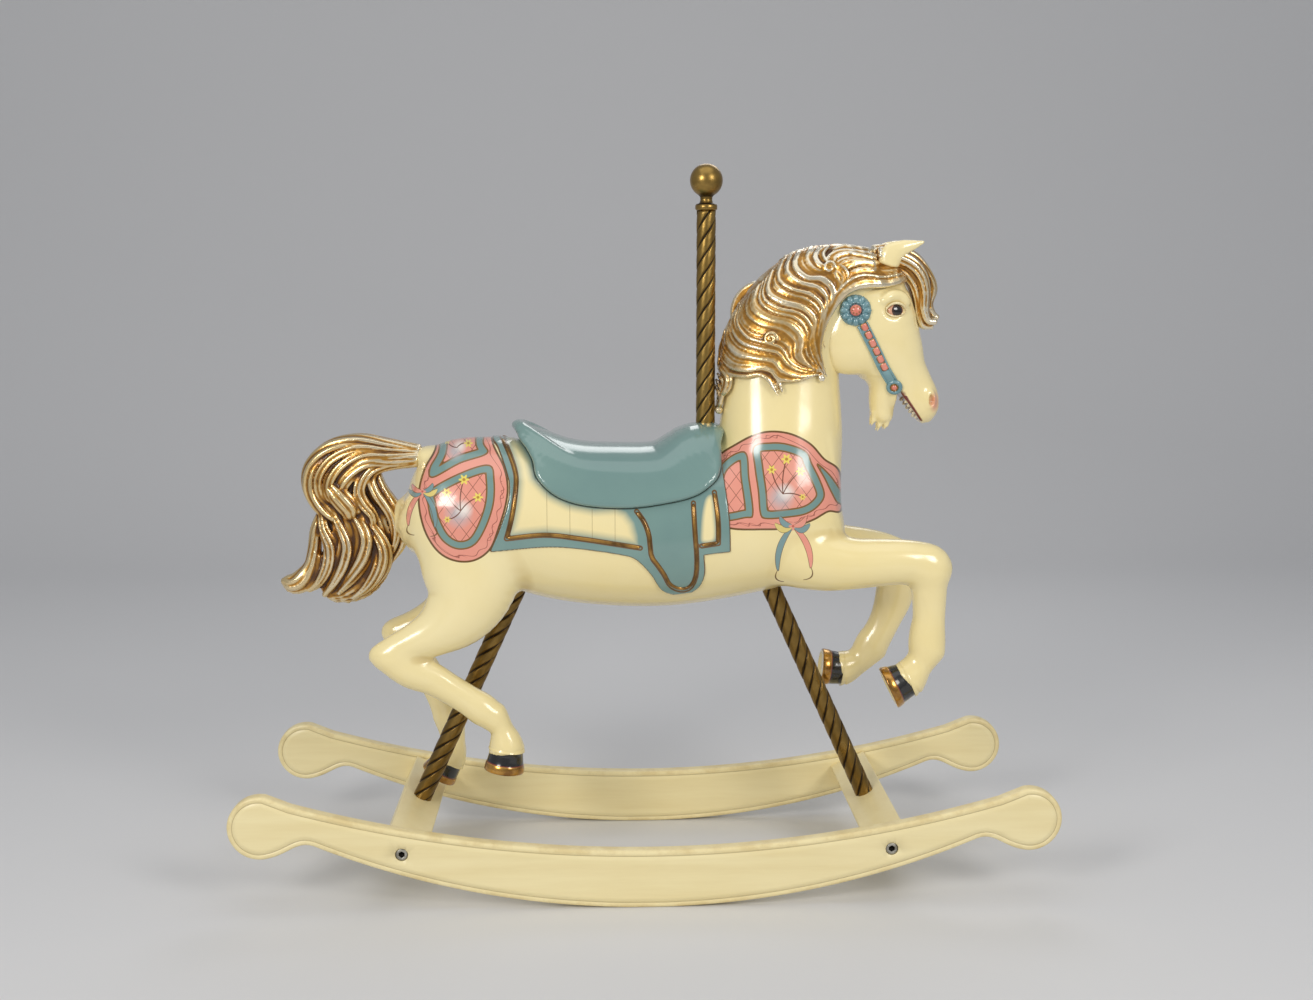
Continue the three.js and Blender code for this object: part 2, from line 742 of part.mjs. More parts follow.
function rosette() {
  const petals = 8;
  const outline = [];
  for (let i = 0; i < petals * 2; i += 1) {
    const angle = (2 * Math.PI * i) / (petals * 2);
    const radius = 23 + 3 * Math.cos(petals * angle);
    outline.push(new THREE.Vector2(radius * Math.cos(angle), radius * Math.sin(angle)));
  }
  const disc = new THREE.ExtrudeGeometry(new THREE.Shape(outline), {
    depth: 10, bevelEnabled: false,
  });
  disc.translate(0, 0, -5);
  const boss = new THREE.SphereGeometry(9, 6, 4);
  boss.scale(1, 1, 0.7);
  boss.translate(0, 0, 8);
  return [onCheek(disc, 339, 911), onCheek(boss, 339, 911)];
}

function strap() {
  const line = [[347, 888], [360, 864], [374, 840], [388, 816], [402, 793]];
  const rows = line.map(([x, z]) => {
    const flat = carry(x, z, 45);
    const y = halfWidth(HEAD, flat[0], flat[1]);
    const [px, pz] = carry(x, z, y);
    return [px, -y, pz, 8.5, 4];
  });
  return sweep(rows, { sides: 4, steps: 4 });
}

function bitRing() {
  const ring = new THREE.CylinderGeometry(13, 12, 8, 10);
  ring.rotateX(Math.PI / 2);
  return onCheek(ring, 404, 789);
}

function eye() {
  const ball = new THREE.SphereGeometry(10, 8, 4);
  ball.scale(1.2, 0.9, 0.6);
  return onCheek(ball, 403, 911);
}

function headParts() {
  const flank = [...rosette(), strap(), bitRing(), eye(), sweep(EAR, { sides: 6, steps: 4 })];
  const middle = [sweep(HEAD, { sides: 10, steps: 9 }), sweep(JAW, { sides: 7, steps: 4 })];
  return [...middle, ...flank, ...flank.map(mirrored)];
}

function legs() {
  const limbs = [
    THIGH_NEAR, CANNON_HIND_NEAR, THIGH_FAR, CANNON_HIND_FAR,
    FOREARM_NEAR, CANNON_FORE_NEAR, FOREARM_FAR, CANNON_FORE_FAR,
  ];
  const feet = [HOOF_HIND_NEAR, HOOF_HIND_FAR, HOOF_FORE_NEAR, HOOF_FORE_FAR];
  return [...limbs.map((rows) => sweep(rows, LIMB)), ...feet.map((rows) => sweep(rows, FOOT))];
}

function horseSolid() {
  const flesh = unite([
    sweep(TORSO, BARREL),
    sweep(NECK, { sides: 10, steps: 8 }),
    sweep(RUMP_KNOB, { sides: 8, steps: 3 }),
    sweep(TAIL_CORE, { sides: 6, steps: 8 }),
    ...legs(),
    ...headParts(),
    sweep(SEAT, { sides: 10, steps: 9 }),
  ]);
  const hair = unite([...maneLocks(), ...forelocks(), ...tailLocks()]);
  const whole = [clothSolid(), skirtSolid(), maneGround(), hair].reduce((solid, next) => solid.add(next), flesh);
  const poleHole = roundRod(SOCKET_R, POLE_TOP - POLE_FOOT + GAP, 12).translate(POLE_X, 0, POLE_FOOT - GAP);
  const postHoles = [1, -1].map((side) => leanOnPost(roundRod(SOCKET_R, POST_LENGTH + GAP, 12), side));
  return whole.subtract(unite([poleHole, ...postHoles]));
}

// ---------------------------------------------------------------- the group

const group = new THREE.Group();

function addMesh(name, geometry, [color, roughness, metalness]) {
  const material = new THREE.MeshStandardMaterial({ color, roughness, metalness, flatShading: true });
  const mesh = new THREE.Mesh(geometry, material);
  mesh.name = name;
  group.add(mesh);
}

addMesh("horse", outerShell(toGeometry(horseSolid())), CREAM);

const pole = twistedRod(POLE_TOP - POLE_FOOT);
pole.translate(POLE_X, 0, POLE_FOOT);
addMesh("pole", pole, BRASS);

const finial = finialGeometry();
finial.translate(POLE_X, 0, 0);
addMesh("ball_finial", finial, BRASS);

for (const [end, side] of [["front", 1], ["rear", -1]]) {
  addMesh(`${end}_post`, leanOnPost(twistedRod(POST_LENGTH), side), BRASS);
  addMesh(`${end}_crossbar`, toGeometry(crossbarSolid(side)), WOOD);
}

for (const [flank, side] of [["near", -1], ["far", 1]]) {
  addMesh(`${flank}_rocker`, toGeometry(rockerSolid(side)), WOOD);
  for (const [end, way] of [["front", 1], ["rear", -1]]) {
    addMesh(`bolt_${flank}_${end}`, toGeometry(boltSolid(side, way)), STEEL);
  }
}

export default group;
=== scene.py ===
"""Carousel horse on a rocking base: its fine surface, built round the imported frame.

Tables and outlines are in millimetres in the frame's own axes:
+Z up, +X the way the horse faces, -Y the near side.
"""
import math

import bpy
import numpy as np
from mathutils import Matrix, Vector
from mathutils.geometry import delaunay_2d_cdt


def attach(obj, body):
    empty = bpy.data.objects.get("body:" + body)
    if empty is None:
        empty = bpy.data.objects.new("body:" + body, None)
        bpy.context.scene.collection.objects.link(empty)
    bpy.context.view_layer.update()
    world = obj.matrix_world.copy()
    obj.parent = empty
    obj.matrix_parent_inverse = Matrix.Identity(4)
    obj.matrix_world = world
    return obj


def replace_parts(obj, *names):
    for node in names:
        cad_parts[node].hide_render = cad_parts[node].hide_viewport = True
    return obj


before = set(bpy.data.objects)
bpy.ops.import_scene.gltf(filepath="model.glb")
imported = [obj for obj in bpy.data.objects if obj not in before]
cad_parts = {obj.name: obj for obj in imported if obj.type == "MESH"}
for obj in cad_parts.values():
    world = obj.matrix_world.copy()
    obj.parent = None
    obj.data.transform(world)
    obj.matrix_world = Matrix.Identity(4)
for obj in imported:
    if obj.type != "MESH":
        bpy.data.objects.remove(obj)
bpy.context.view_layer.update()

MM = 0.001
FAR = 1000.0
NEAR_SIDE, FAR_SIDE = -1, 1

# ------------------------------------------------------------------ driving dimensions

BODY_STEP = 3.9
HEAD_STEP = 1.9
HAIR_STEP = 1.85
SADDLE_STEP = 2.35

POLE_X = 99
POLE_FOOT, POLE_TOP = 690, 1068
BALL_R, BALL_Z = 26, 1115
TUBE_R, TUBE_LEAD, TUBE_STARTS = 15.5, 114, 4
POST_X, POST_Z, POST_LENGTH = 371, 104, 425
POST_LEAN = math.radians(24.6)
ROCKER_Y, ROCKER_THICK = 197, 24
SOLE_RADIUS, SOLE_FLAT = 1300, 30
TOP_RADIUS, TOP_LOW = 2000, 91
PADDLE_X, PADDLE_Z, PADDLE_R = 592, 133.5, 49.5
BOLT_X, BOLT_Z, BOLT_R, BOLT_HEX = 377, 90, 9, 5
WELL_R, WELL_DEEP = 10, 8.5
CROSSBAR_WIDTH, CROSSBAR_THICK, CROSSBAR_HALF = 64, 48, 184.7
TUBE_SIDES, TUBE_ROW, WELL_SIDES = 72, 5, 40
ROCKER_CORNER, ROCKER_RIM = 4.5, 12
HIP_FILLET, SHOULDER_FILLET = 24, 13
CLOTH_SUNK, CLOTH_RISE = 5, 3.0
WALL_DOWN, SOLE_DOWN, GILT_FROM = 36.0, 45.0, 21.5
CENTRE_PULL, CENTRE_PUSH = 0.5, 0.53

# The camera's place in metres, its angles in degrees, its lens and sensor in millimetres. The lens is assumed.
CAMERA_AT = (-0.0697, -2.5648, 0.9751)
CAMERA_DOWN, CAMERA_TURN = 8.18, 2.01
CAMERA_LENS, CAMERA_SENSOR = 43.87, 36
LIGHTS_AIM = (0, 0, 0.55)
WARM_WHITE = (1.0, 0.975, 0.93)
# the backdrop in metres: half width, front edge, start and radius of its curve, wall, wall's top
SET_HALF, SET_FRONT, SET_BEND, SET_RADIUS, SET_WALL, SET_TOP = 9.0, -7.0, 2.6, 1.6, 4.2, 7.0

# The side drawing is seen from this point, and lines on the flanks are carried out from the middle plane
# along its rays.
DRAW_X, DRAW_Y, DRAW_Z = -70.0, 2565.0, 975.0

# ------------------------------------------ stations: x, y, z, half depth, half width

TORSO = [
    (-371, 0, 624, 50, 44), (-362, 0, 621, 70, 68), (-342, 0, 611, 90, 88), (-310, 0, 601, 104, 100),
    (-260, 0, 594, 116, 108), (-200, 0, 583, 118, 111), (-120, 0, 562, 118, 114), (-40, 0, 555, 120, 115),
    (40, 0, 556, 121, 115), (120, 0, 568, 122, 113), (200, 0, 579, 116, 106), (260, 0, 588, 104, 97),
    (294, 0, 597, 86, 82), (307, 0, 600, 64, 60),
]
NECK = [
    (214, 0, 600, 84, 92), (217, 0, 650, 96, 92), (220, 0, 700, 100, 84), (221, 0, 750, 97, 74),
    (221, 0, 800, 93, 66), (226, 0, 850, 89, 60), (246, 0, 898, 84, 55), (284, 0, 932, 76, 50),
    (326, 0, 950, 62, 46), (360, 0, 956, 46, 40),
]
HEAD = [
    (345, 0, 940, 56, 40), (352, 0, 918, 74, 50), (363, 0, 886, 75, 52), (377, 0, 864, 68, 50),
    (393, 0, 842, 58, 45), (412, 0, 815, 43, 38), (428, 0, 790, 38, 34), (442, 0, 768, 34, 33),
    (451, 0, 750, 23, 28), (454, 0, 734, 11, 16),
]
JAW = [
    (383, 0, 806, 18, 30), (383, 0, 780, 20, 26), (384, 0, 758, 20, 22), (386, 0, 742, 17, 20),
    (390, 0, 732, 7, 12),
]
MOUTH = [
    (407, 0, 784, 2.5, 40), (409, 0, 774, 5, 40), (415, 0, 758, 11.5, 40), (421, 0, 740, 18.5, 40),
    (426, 0, 718, 24, 40),
]
THIGH_NEAR = [
    (-286, -58, 600, 72, 42), (-281, -62, 555, 78, 48), (-274, -66, 510, 80, 49), (-277, -70, 470, 67, 45),
    (-299, -75, 434, 54, 38), (-331, -79, 409, 39, 31), (-362, -81, 394, 31, 26), (-392, -82, 381, 26, 22),
    (-416, -82, 372, 20, 17), (-430, -82, 371, 11, 10),
]
CANNON_HIND_NEAR = [
    (-412, -82, 370, 17, 18), (-398, -82, 362, 25, 22), (-370, -82, 347, 29, 23), (-338, -82, 333, 26, 21),
    (-310, -82, 316, 24, 20), (-282, -82, 298, 24, 21), (-259, -82, 282, 26, 23), (-243, -82, 270, 22, 21),
]
HOOF_HIND_NEAR = [
    (-244, -82, 279, 19, 18), (-236, -82, 263, 20, 20), (-228, -82, 248, 18, 20), (-224, -82, 232, 24, 24),
    (-222, -82, 217, 29, 28), (-223, -82, 211, 26, 27), (-225, -82, 196, 29, 29), (-227, -82, 182, 32, 31),
]
THIGH_FAR = [
    (-286, 58, 600, 72, 42), (-281, 62, 555, 78, 48), (-277, 66, 510, 75, 49), (-282, 70, 468, 62, 45),
    (-308, 75, 428, 48, 38), (-338, 78, 403, 37, 31), (-368, 80, 388, 30, 26), (-396, 80, 378, 26, 22),
    (-418, 80, 374, 20, 17), (-431, 80, 373, 11, 10),
]
CANNON_HIND_FAR = [
    (-416, 80, 378, 15, 16), (-408, 80, 364, 25, 22), (-391, 80, 340, 28, 23), (-371, 80, 313, 26, 21),
    (-354, 80, 286, 24, 20), (-341, 80, 259, 24, 20), (-330, 80, 232, 26, 22), (-326, 80, 216, 22, 20),
]
HOOF_HIND_FAR = [
    (-328, 80, 226, 25, 21), (-324, 80, 200, 22, 20), (-323, 80, 182, 21, 20), (-326, 80, 164, 26, 25),
    (-331, 80, 151, 29, 28), (-334, 80, 145, 26, 27), (-341, 80, 134, 29, 29), (-349, 80, 123, 31, 31),
]
FOREARM_NEAR = [
    (215, -46, 540, 60, 40), (250, -58, 527, 56, 46), (290, -68, 516, 48, 42), (330, -74, 513, 41, 36),
    (370, -77, 515, 38, 33), (410, -78, 516, 36, 31), (440, -78, 512, 35, 29), (462, -78, 506, 29, 25),
    (476, -78, 502, 15, 14),
]
CANNON_FORE_NEAR = [
    (449, -78, 522, 24, 22), (451, -78, 500, 30, 27), (452, -78, 476, 29, 25), (453, -78, 450, 27, 22),
    (453, -78, 424, 26, 21), (451, -78, 398, 29, 23), (451, -78, 376, 29, 24), (450, -78, 364, 22, 20),
]
HOOF_FORE_NEAR = [
    (456, -78, 378, 25, 21), (445, -78, 358, 23, 21), (435, -78, 345, 24, 22), (426, -78, 331, 28, 26),
    (421, -78, 325, 31, 28), (414, -78, 322, 29, 27), (402, -78, 316, 32, 30), (390, -78, 310, 35, 32),
]
FOREARM_FAR = [
    (215, 46, 540, 60, 40), (250, 58, 527, 56, 46), (290, 68, 516, 48, 42), (330, 74, 512, 41, 36),
    (370, 77, 508, 38, 33), (405, 78, 500, 37, 31), (430, 78, 490, 35, 29), (450, 78, 480, 27, 24),
    (462, 78, 474, 13, 13),
]
CANNON_FORE_FAR = [
    (438, 78, 500, 24, 22), (434, 78, 478, 33, 27), (429, 78, 450, 33, 25), (423, 78, 420, 31, 22),
    (413, 78, 393, 27, 21), (401, 78, 367, 26, 22), (388, 78, 345, 28, 23), (380, 78, 334, 22, 20),
]
HOOF_FORE_FAR = [
    (392, 78, 344, 26, 21), (376, 78, 327, 24, 21), (362, 78, 315, 23, 22), (347, 78, 307, 27, 26),
    (338, 78, 304, 30, 28), (331, 78, 304, 28, 27), (317, 78, 306, 29, 29), (302, 78, 308, 30, 31),
]
# upper leg, cannon, hoof, and the fillet where the leg leaves the trunk
LEGS = [
    (THIGH_NEAR, CANNON_HIND_NEAR, HOOF_HIND_NEAR, HIP_FILLET),
    (THIGH_FAR, CANNON_HIND_FAR, HOOF_HIND_FAR, HIP_FILLET),
    (FOREARM_NEAR, CANNON_FORE_NEAR, HOOF_FORE_NEAR, SHOULDER_FILLET),
    (FOREARM_FAR, CANNON_FORE_FAR, HOOF_FORE_FAR, SHOULDER_FILLET),
]
HOOF_NAMES = ["hoof_near_hind", "hoof_far_hind", "hoof_near_fore", "hoof_far_fore"]
EYE_WIDE = 1.35
FLARE_ROW = 4  # the hoof's station at the lip of the coronet
RUMP_KNOB = [(-345, 0, 588, 34, 30), (-368, 0, 586, 30, 26), (-388, 0, 584, 25, 22), (-402, 0, 582, 18, 16)]
TAIL_COLLAR = ((-345, 0, 680), (22, 34, 16))
POLL = ((382, 0, 962), (34, 32, 22))
CHIN_TUFTS = [(371, 748, 22), (381, 742, 25), (392, 739, 19)]
EAR = [
    (386, -26, 985, 17, 12), (391, -28, 1000, 18, 10), (406, -29, 1009, 13, 8), (424, -29, 1014, 8, 5),
    (441, -29, 1019, 2, 2),
]
SEAT = [
    (-204, 0, 716, 10, 20), (-192, 0, 704, 19, 48), (-168, 0, 688, 25, 72), (-135, 0, 668, 31, 86),
    (-95, 0, 652, 41, 93), (-45, 0, 644, 48, 96), (5, 0, 643, 49, 96), (38, 0, 649, 49, 94),
    (62, 0, 662, 53, 89), (82, 0, 673, 57, 82), (104, 0, 678, 54, 72), (117, 0, 674, 46, 60),
    (125, 0, 664, 28, 42),
]
CANTLE_RIM = [(-112, 76, 677), (-140, 70, 692), (-170, 52, 711), (-192, 28, 723), (-202, 0, 726)]

# ------------------------------------------------------------------ outlines of the side drawing

SKIRT_LINE = [
    (-205, 760), (-205, 715), (-190, 690), (-180, 670), (-174, 643), (-150, 617), (-120, 602), (-80, 594),
    (-20, 592), (40, 600), (80, 610), (106, 626), (124, 650), (126, 700), (116, 760),
]
CLOTH_REAR = [
    (-245, 780), (-245, 712), (-235, 690), (-222, 650), (-218, 628), (-222, 598), (-235, 560), (-252, 522),
]
CLOTH_HEM = [
    (-252, 522), (-160, 529), (-100, 525), (-40, 516), (-14, 508), (10, 484), (26, 460), (45, 451), (70, 451),
    (91, 463), (100, 484), (99, 515),
]
CLOTH_FRONT = [(99, 515), (142, 520)]
CLOTH_EDGE = [(142, 520), (141, 560), (137, 600), (130, 645), (124, 690), (115, 722), (115, 780)]
PIPING_REAR = [(-228, 708), (-216, 680), (-208, 655), (-206, 635), (-210, 600), (-216, 570), (-223, 545)]
PIPING_HEM = [(-223, 545), (-160, 550), (-100, 543), (-50, 535), (-6, 528)]
PIPING_FENDER = [
    (-12, 587), (0, 570), (8, 548), (12, 515), (22, 500), (33, 484), (42, 468), (58, 460), (74, 463),
    (84, 480),
    (86, 510), (83, 550), (80, 600),
]
PIPING_FRONT = [(114, 617), (119, 585), (121, 560), (121, 535)]
PIPING_FOOT = [(121, 535), (94, 531)]
PIPING = [PIPING_REAR, PIPING_HEM, PIPING_FENDER, PIPING_FRONT, PIPING_FOOT]
QUILT_LINE = [
    (-232, 730), (-216, 680), (-208, 655), (-206, 635), (-210, 600), (-223, 546), (-160, 551), (-100, 544),
    (-50, 536), (-7, 529), (-8, 548), (-14, 570), (-27, 588), (-45, 596), (-80, 594), (-120, 602),
    (-150, 617),
    (-174, 643), (-180, 670), (-190, 690), (-205, 715), (-212, 740),
]
QUILT_SEAMS = (-157, -120, -84, -47)
FRONT_PANEL = [(93, 536), (117, 540), (117, 580), (112, 613), (100, 610), (94, 590), (91, 560)]
RUMP_BAND = [
    (-335, 690), (-352, 660), (-362, 625), (-362, 590), (-352, 552), (-332, 522), (-305, 508), (-275, 509),
    (-250, 527), (-236, 560), (-224, 598), (-220, 630), (-226, 662), (-243, 700), (-250, 740), (-320, 740),
]
RUMP_LOW_PANEL = [(-347, 622), (-298, 650), (-250, 664), (-242, 640), (-244, 600), (-258, 560), (-276, 534),
                  (-302, 528), (-326, 542), (-342, 572), (-348, 600)]
RUMP_TOP_PANEL = [(-344, 660), (-330, 686), (-318, 730), (-262, 730), (-258, 700), (-253, 683), (-296, 668),
                  (-340, 645)]
CHEST_BAND = [
    (120, 676), (150, 697), (180, 712), (208, 717), (240, 712), (270, 696), (292, 672), (318, 650),
    (322, 590),
    (300, 586), (275, 572), (240, 560), (200, 557), (132, 562), (132, 600), (124, 650),
]
CHEST_PANELS = [
    [(120, 654), (162, 684), (170, 640), (177, 584), (166, 577), (120, 578)],
    [(178, 692), (204, 698), (232, 696), (262, 684), (272, 664), (286, 636), (293, 612), (282, 594),
     (262, 582),
     (232, 577), (200, 575), (190, 582), (186, 620), (180, 660)],
    [(281, 664), (306, 640), (330, 600), (316, 600), (306, 616), (294, 640)],
]
PANEL_BORDER = 12.0
# painted sprays inside the panels: a soft blossom and small flowers on stems round it
SPRAYS = [
    ((-296, 590), 17, [(-318, 620, 8), (-290, 641, 9), (-268, 612, 8.5), (-318, 576, 6)]),
    ((-300, 693), 12, [(-316, 704, 6), (-282, 700, 7.5)]),
    ((226, 615), 17, [(207, 655, 8), (231, 672, 9), (254, 652, 8), (258, 610, 6)]),
]
BOWS = [((243, 562), 1.0, 1), ((-357, 622), 0.8, -1)]
MANE_LINE = [
    (110, 770), (112, 805), (112, 850), (130, 905), (150, 945), (190, 980), (240, 1015), (300, 1030),
    (370, 1022),
    (418, 992), (425, 962), (405, 953), (375, 950), (345, 947), (318, 935), (300, 912), (287, 882),
    (283, 850),
    (290, 818), (276, 808), (240, 808), (200, 815), (155, 820), (138, 812), (130, 790),
]

# ------------------------------------------ locks of hair, from root to tip, in the drawing

BACK_GUIDES = [
    [(116, 822), (112, 800), (122, 780), (124, 765), (117, 752)],
    [(118, 845), (118, 822), (131, 802), (128, 782), (118, 765)],
    [(120, 852), (124, 828), (139, 808), (138, 788), (126, 772), (119, 764)],
]
HEM_GUIDES = [
    [(121, 854), (119, 831), (132, 812), (160, 806), (184, 809), (199, 801), (207, 789), (216, 775)],
    [(123, 862), (121, 838), (136, 818), (162, 812), (188, 815), (206, 807), (214, 793), (222, 777)],
    [(126, 870), (124, 846), (141, 824), (168, 818), (194, 821), (213, 813), (219, 799), (224, 780)],
]
MANE_GUIDES = [
    [(128, 876), (126, 851), (143, 828), (172, 823), (200, 820), (215, 803), (238, 799), (266, 802)],
    [(133, 886), (130, 861), (148, 838), (178, 831), (205, 827), (219, 811), (244, 804), (274, 806)],
    [(140, 900), (136, 872), (152, 850), (184, 840), (212, 834), (228, 818), (254, 808), (284, 809)],
    [(150, 915), (146, 890), (162, 866), (192, 856), (218, 850), (232, 830), (250, 818), (285, 811)],
    [(165, 932), (160, 902), (180, 882), (212, 876), (236, 858), (238, 834), (256, 822), (286, 813)],
    [(180, 948), (175, 918), (198, 899), (234, 890), (254, 868), (252, 842), (264, 824), (288, 812)],
    [(195, 962), (191, 932), (214, 915), (250, 906), (268, 885), (265, 856), (274, 832), (291, 807)],
    [(212, 982), (206, 950), (228, 934), (259, 925), (279, 905), (275, 874), (280, 845), (293, 812)],
    [(228, 998), (221, 968), (243, 952), (273, 944), (291, 925), (285, 898), (279, 868), (286, 838)],
    [(246, 1006), (239, 981), (258, 962), (284, 959), (301, 941), (297, 918), (284, 888)],
    [(268, 1012), (261, 992), (275, 975), (297, 973), (312, 958), (306, 940), (292, 916)],
    [(296, 1014), (286, 1000), (296, 985), (316, 981), (326, 967), (315, 946)],
]
BROW_GUIDES = [
    [(404, 1000), (376, 1004), (346, 1010), (318, 1013), (298, 1008)],
    [(402, 996), (374, 997), (344, 1003), (314, 1005), (294, 996), (297, 983)],
    [(400, 991), (372, 990), (345, 995), (318, 998), (302, 986), (311, 970), (325, 972)],
    [(408, 984), (380, 980), (350, 984), (325, 978), (306, 960), (296, 938)],
    [(412, 974), (380, 969), (350, 972), (325, 964), (302, 938), (284, 905), (276, 870), (279, 842),
     (289, 818)],
    [(416, 966), (384, 959), (352, 961), (326, 950), (302, 925), (284, 890), (279, 855), (285, 825),
     (292, 808)],
    [(420, 958), (388, 951), (354, 950), (326, 940), (304, 915), (287, 880), (283, 850), (288, 822),
     (296, 804)],
]
CURLS = [(203, 866, 11), (296, 980, 9)]
KNOBS = [(286, 803, 6.0), (121, 752, 6.5)]
FAR_CREST_LOCK = [
    (150, 18, 882), (148, 26, 904), (153, 32, 924), (166, 34, 940), (184, 30, 950), (202, 24, 950),
]
FORELOCKS = [
    [(372, 999), (400, 996), (424, 984), (440, 964), (446, 940), (446, 915), (452, 896), (466, 893)],
    [(365, 992), (392, 987), (416, 976), (432, 955), (439, 930), (441, 905), (447, 888), (462, 886)],
    [(366, 1002), (398, 1003), (428, 992), (450, 968), (460, 945), (455, 922), (462, 905), (472, 899)],
]
# half depth, half width, distance off the middle, then the run from root to tip
TAIL_LOCKS = [
    (14, 22, 3, [(-360, 690), (-410, 698), (-458, 703), (-502, 691), (-530, 662), (-533, 628),
                 (-514, 597), (-488, 578),
                 (-462, 578), (-446, 588)]),
    (12, 18, 9, [(-360, 686), (-410, 690), (-456, 694), (-496, 678), (-518, 650), (-518, 622),
                 (-503, 602), (-484, 593)]),
    (12, 17, 14, [(-360, 681), (-404, 680), (-446, 682), (-480, 666), (-500, 642), (-501, 620),
                  (-490, 606), (-474, 604)]),
    (11, 14, 17, [(-362, 676), (-402, 672), (-438, 672), (-464, 656), (-480, 636), (-482, 618), (-472, 606)]),
    (17, 17, 20, [(-502, 636), (-490, 622), (-478, 608), (-468, 594), (-470, 582)]),
    (12, 18, 11, [(-362, 670), (-400, 668), (-430, 662), (-448, 646), (-456, 624), (-448, 602),
                  (-436, 584), (-438, 564),
                  (-452, 552)]),
    (11, 18, 6, [(-404, 672), (-426, 662), (-438, 644), (-430, 622), (-415, 602), (-403, 582),
                 (-399, 556), (-405, 530),
                 (-424, 500)]),
    (8, 13, 2, [(-428, 655), (-420, 630), (-406, 606), (-392, 582), (-388, 556), (-392, 532), (-408, 508)]),
    (14, 20, 9, [(-446, 582), (-428, 556), (-419, 528), (-426, 500), (-446, 472), (-472, 450)]),
    (14, 22, 12, [(-474, 596), (-456, 572), (-446, 546), (-452, 516), (-470, 486), (-494, 458)]),
    (13, 20, 10, [(-500, 594), (-486, 566), (-476, 538), (-482, 508), (-498, 478), (-518, 454)]),
    (12, 18, 7, [(-516, 598), (-514, 566), (-504, 536), (-508, 506), (-524, 478), (-542, 462)]),
    (10, 14, 2, [(-512, 602), (-528, 566), (-532, 530), (-540, 500), (-560, 481), (-586, 478)]),
]
TAIL_TIP = [
    (-526, 0, 520, 9, 12), (-536, 0, 496, 14, 16), (-552, 0, 478, 18, 18), (-568, 0, 472, 15, 15),
    (-581, 0, 477, 8, 8),
]
TAIL_CORE = [
    (-358, 0, 682, 11, 14), (-400, 0, 686, 15, 16), (-440, 0, 683, 22, 18), (-478, 0, 656, 32, 19),
    (-484, 0, 620, 38, 22), (-464, 0, 580, 46, 24), (-458, 0, 540, 53, 25), (-470, 0, 500, 52, 23),
    (-496, 0, 472, 38, 17), (-516, 0, 458, 16, 11),
]

# ------------------------------------------------------------------ lines


def curve(points, count, closed=False):
    """Catmull-Rom curve through rows of numbers, at `count` equal steps of its parameter."""
    p = np.asarray(points, float)
    if closed:
        knots, spans = np.vstack([p[-1:], p, p[:2]]), len(p)
    else:
        knots, spans = np.vstack([2 * p[:1] - p[1:2], p, 2 * p[-1:] - p[-2:-1]]), len(p) - 1
    t = np.linspace(0, spans, count, endpoint=not closed)
    i = np.minimum(t.astype(int), spans - 1)
    f = (t - i)[:, None]
    before, start, end, after = knots[i], knots[i + 1], knots[i + 2], knots[i + 3]
    leave, arrive = (end - before) / 2, (after - start) / 2
    return (
        (2 * f**3 - 3 * f**2 + 1) * start + (f**3 - 2 * f**2 + f) * leave
        + (3 * f**2 - 2 * f**3) * end + (f**3 - f**2) * arrive
    )


def even(points, spacing, columns=3):
    """The same curve at equal distances, measured over its first columns."""
    fine = curve(points, 24 * len(points))
    steps = np.linalg.norm(np.diff(fine[:, :columns], axis=0), axis=1)
    travelled = np.concatenate([[0], np.cumsum(steps)])
    count = max(3, int(round(travelled[-1] / spacing)) + 1)
    at = np.linspace(0, travelled[-1], count)
    return np.stack([np.interp(at, travelled, fine[:, k]) for k in range(fine.shape[1])], 1)


def unit(v):
    return v / np.maximum(np.linalg.norm(v, axis=-1, keepdims=True), 1e-9)


def outline_distance(x, z, outline):
    """Signed distance to a closed outline, below zero inside it."""
    p = np.asarray(outline, float)
    best = np.full(x.shape, 1e9)
    inside = np.zeros(x.shape, bool)
    for (ax, az), (bx, bz) in zip(p, np.roll(p, -1, 0)):
        ex, ez = bx - ax, bz - az
        t = np.clip(((x - ax) * ex + (z - az) * ez) / (ex * ex + ez * ez + 1e-9), 0, 1)
        best = np.minimum(best, (x - ax - t * ex) ** 2 + (z - az - t * ez) ** 2)
        crosses = ((az > z) != (bz > z)) & (x < (bx - ax) * (z - az) / ((bz - az) or 1e-9) + ax)
        inside ^= crosses
    return np.where(inside, -1, 1) * np.sqrt(best)


def line_distance(x, z, line):
    """Distance to an open line."""
    return np.abs(outline_distance(x, z, np.vstack([line, line[::-1]])))


def smooth_step(low, high, value):
    t = np.clip((value - low) / (high - low), 0, 1)
    return t * t * (3 - 2 * t)


def to_drawing(x, y, z):
    """Places in the side drawing that lie in front of these points of the flanks."""
    k = (DRAW_Y - np.abs(y)) / DRAW_Y
    return DRAW_X + (x - DRAW_X) / k, DRAW_Z + (z - DRAW_Z) / k


def from_drawing(x, z, y):
    k = (DRAW_Y - np.abs(y)) / DRAW_Y
    return DRAW_X + (x - DRAW_X) * k, DRAW_Z + (z - DRAW_Z) * k


# ------------------------------------------------------------------ forms as signed distances on a grid


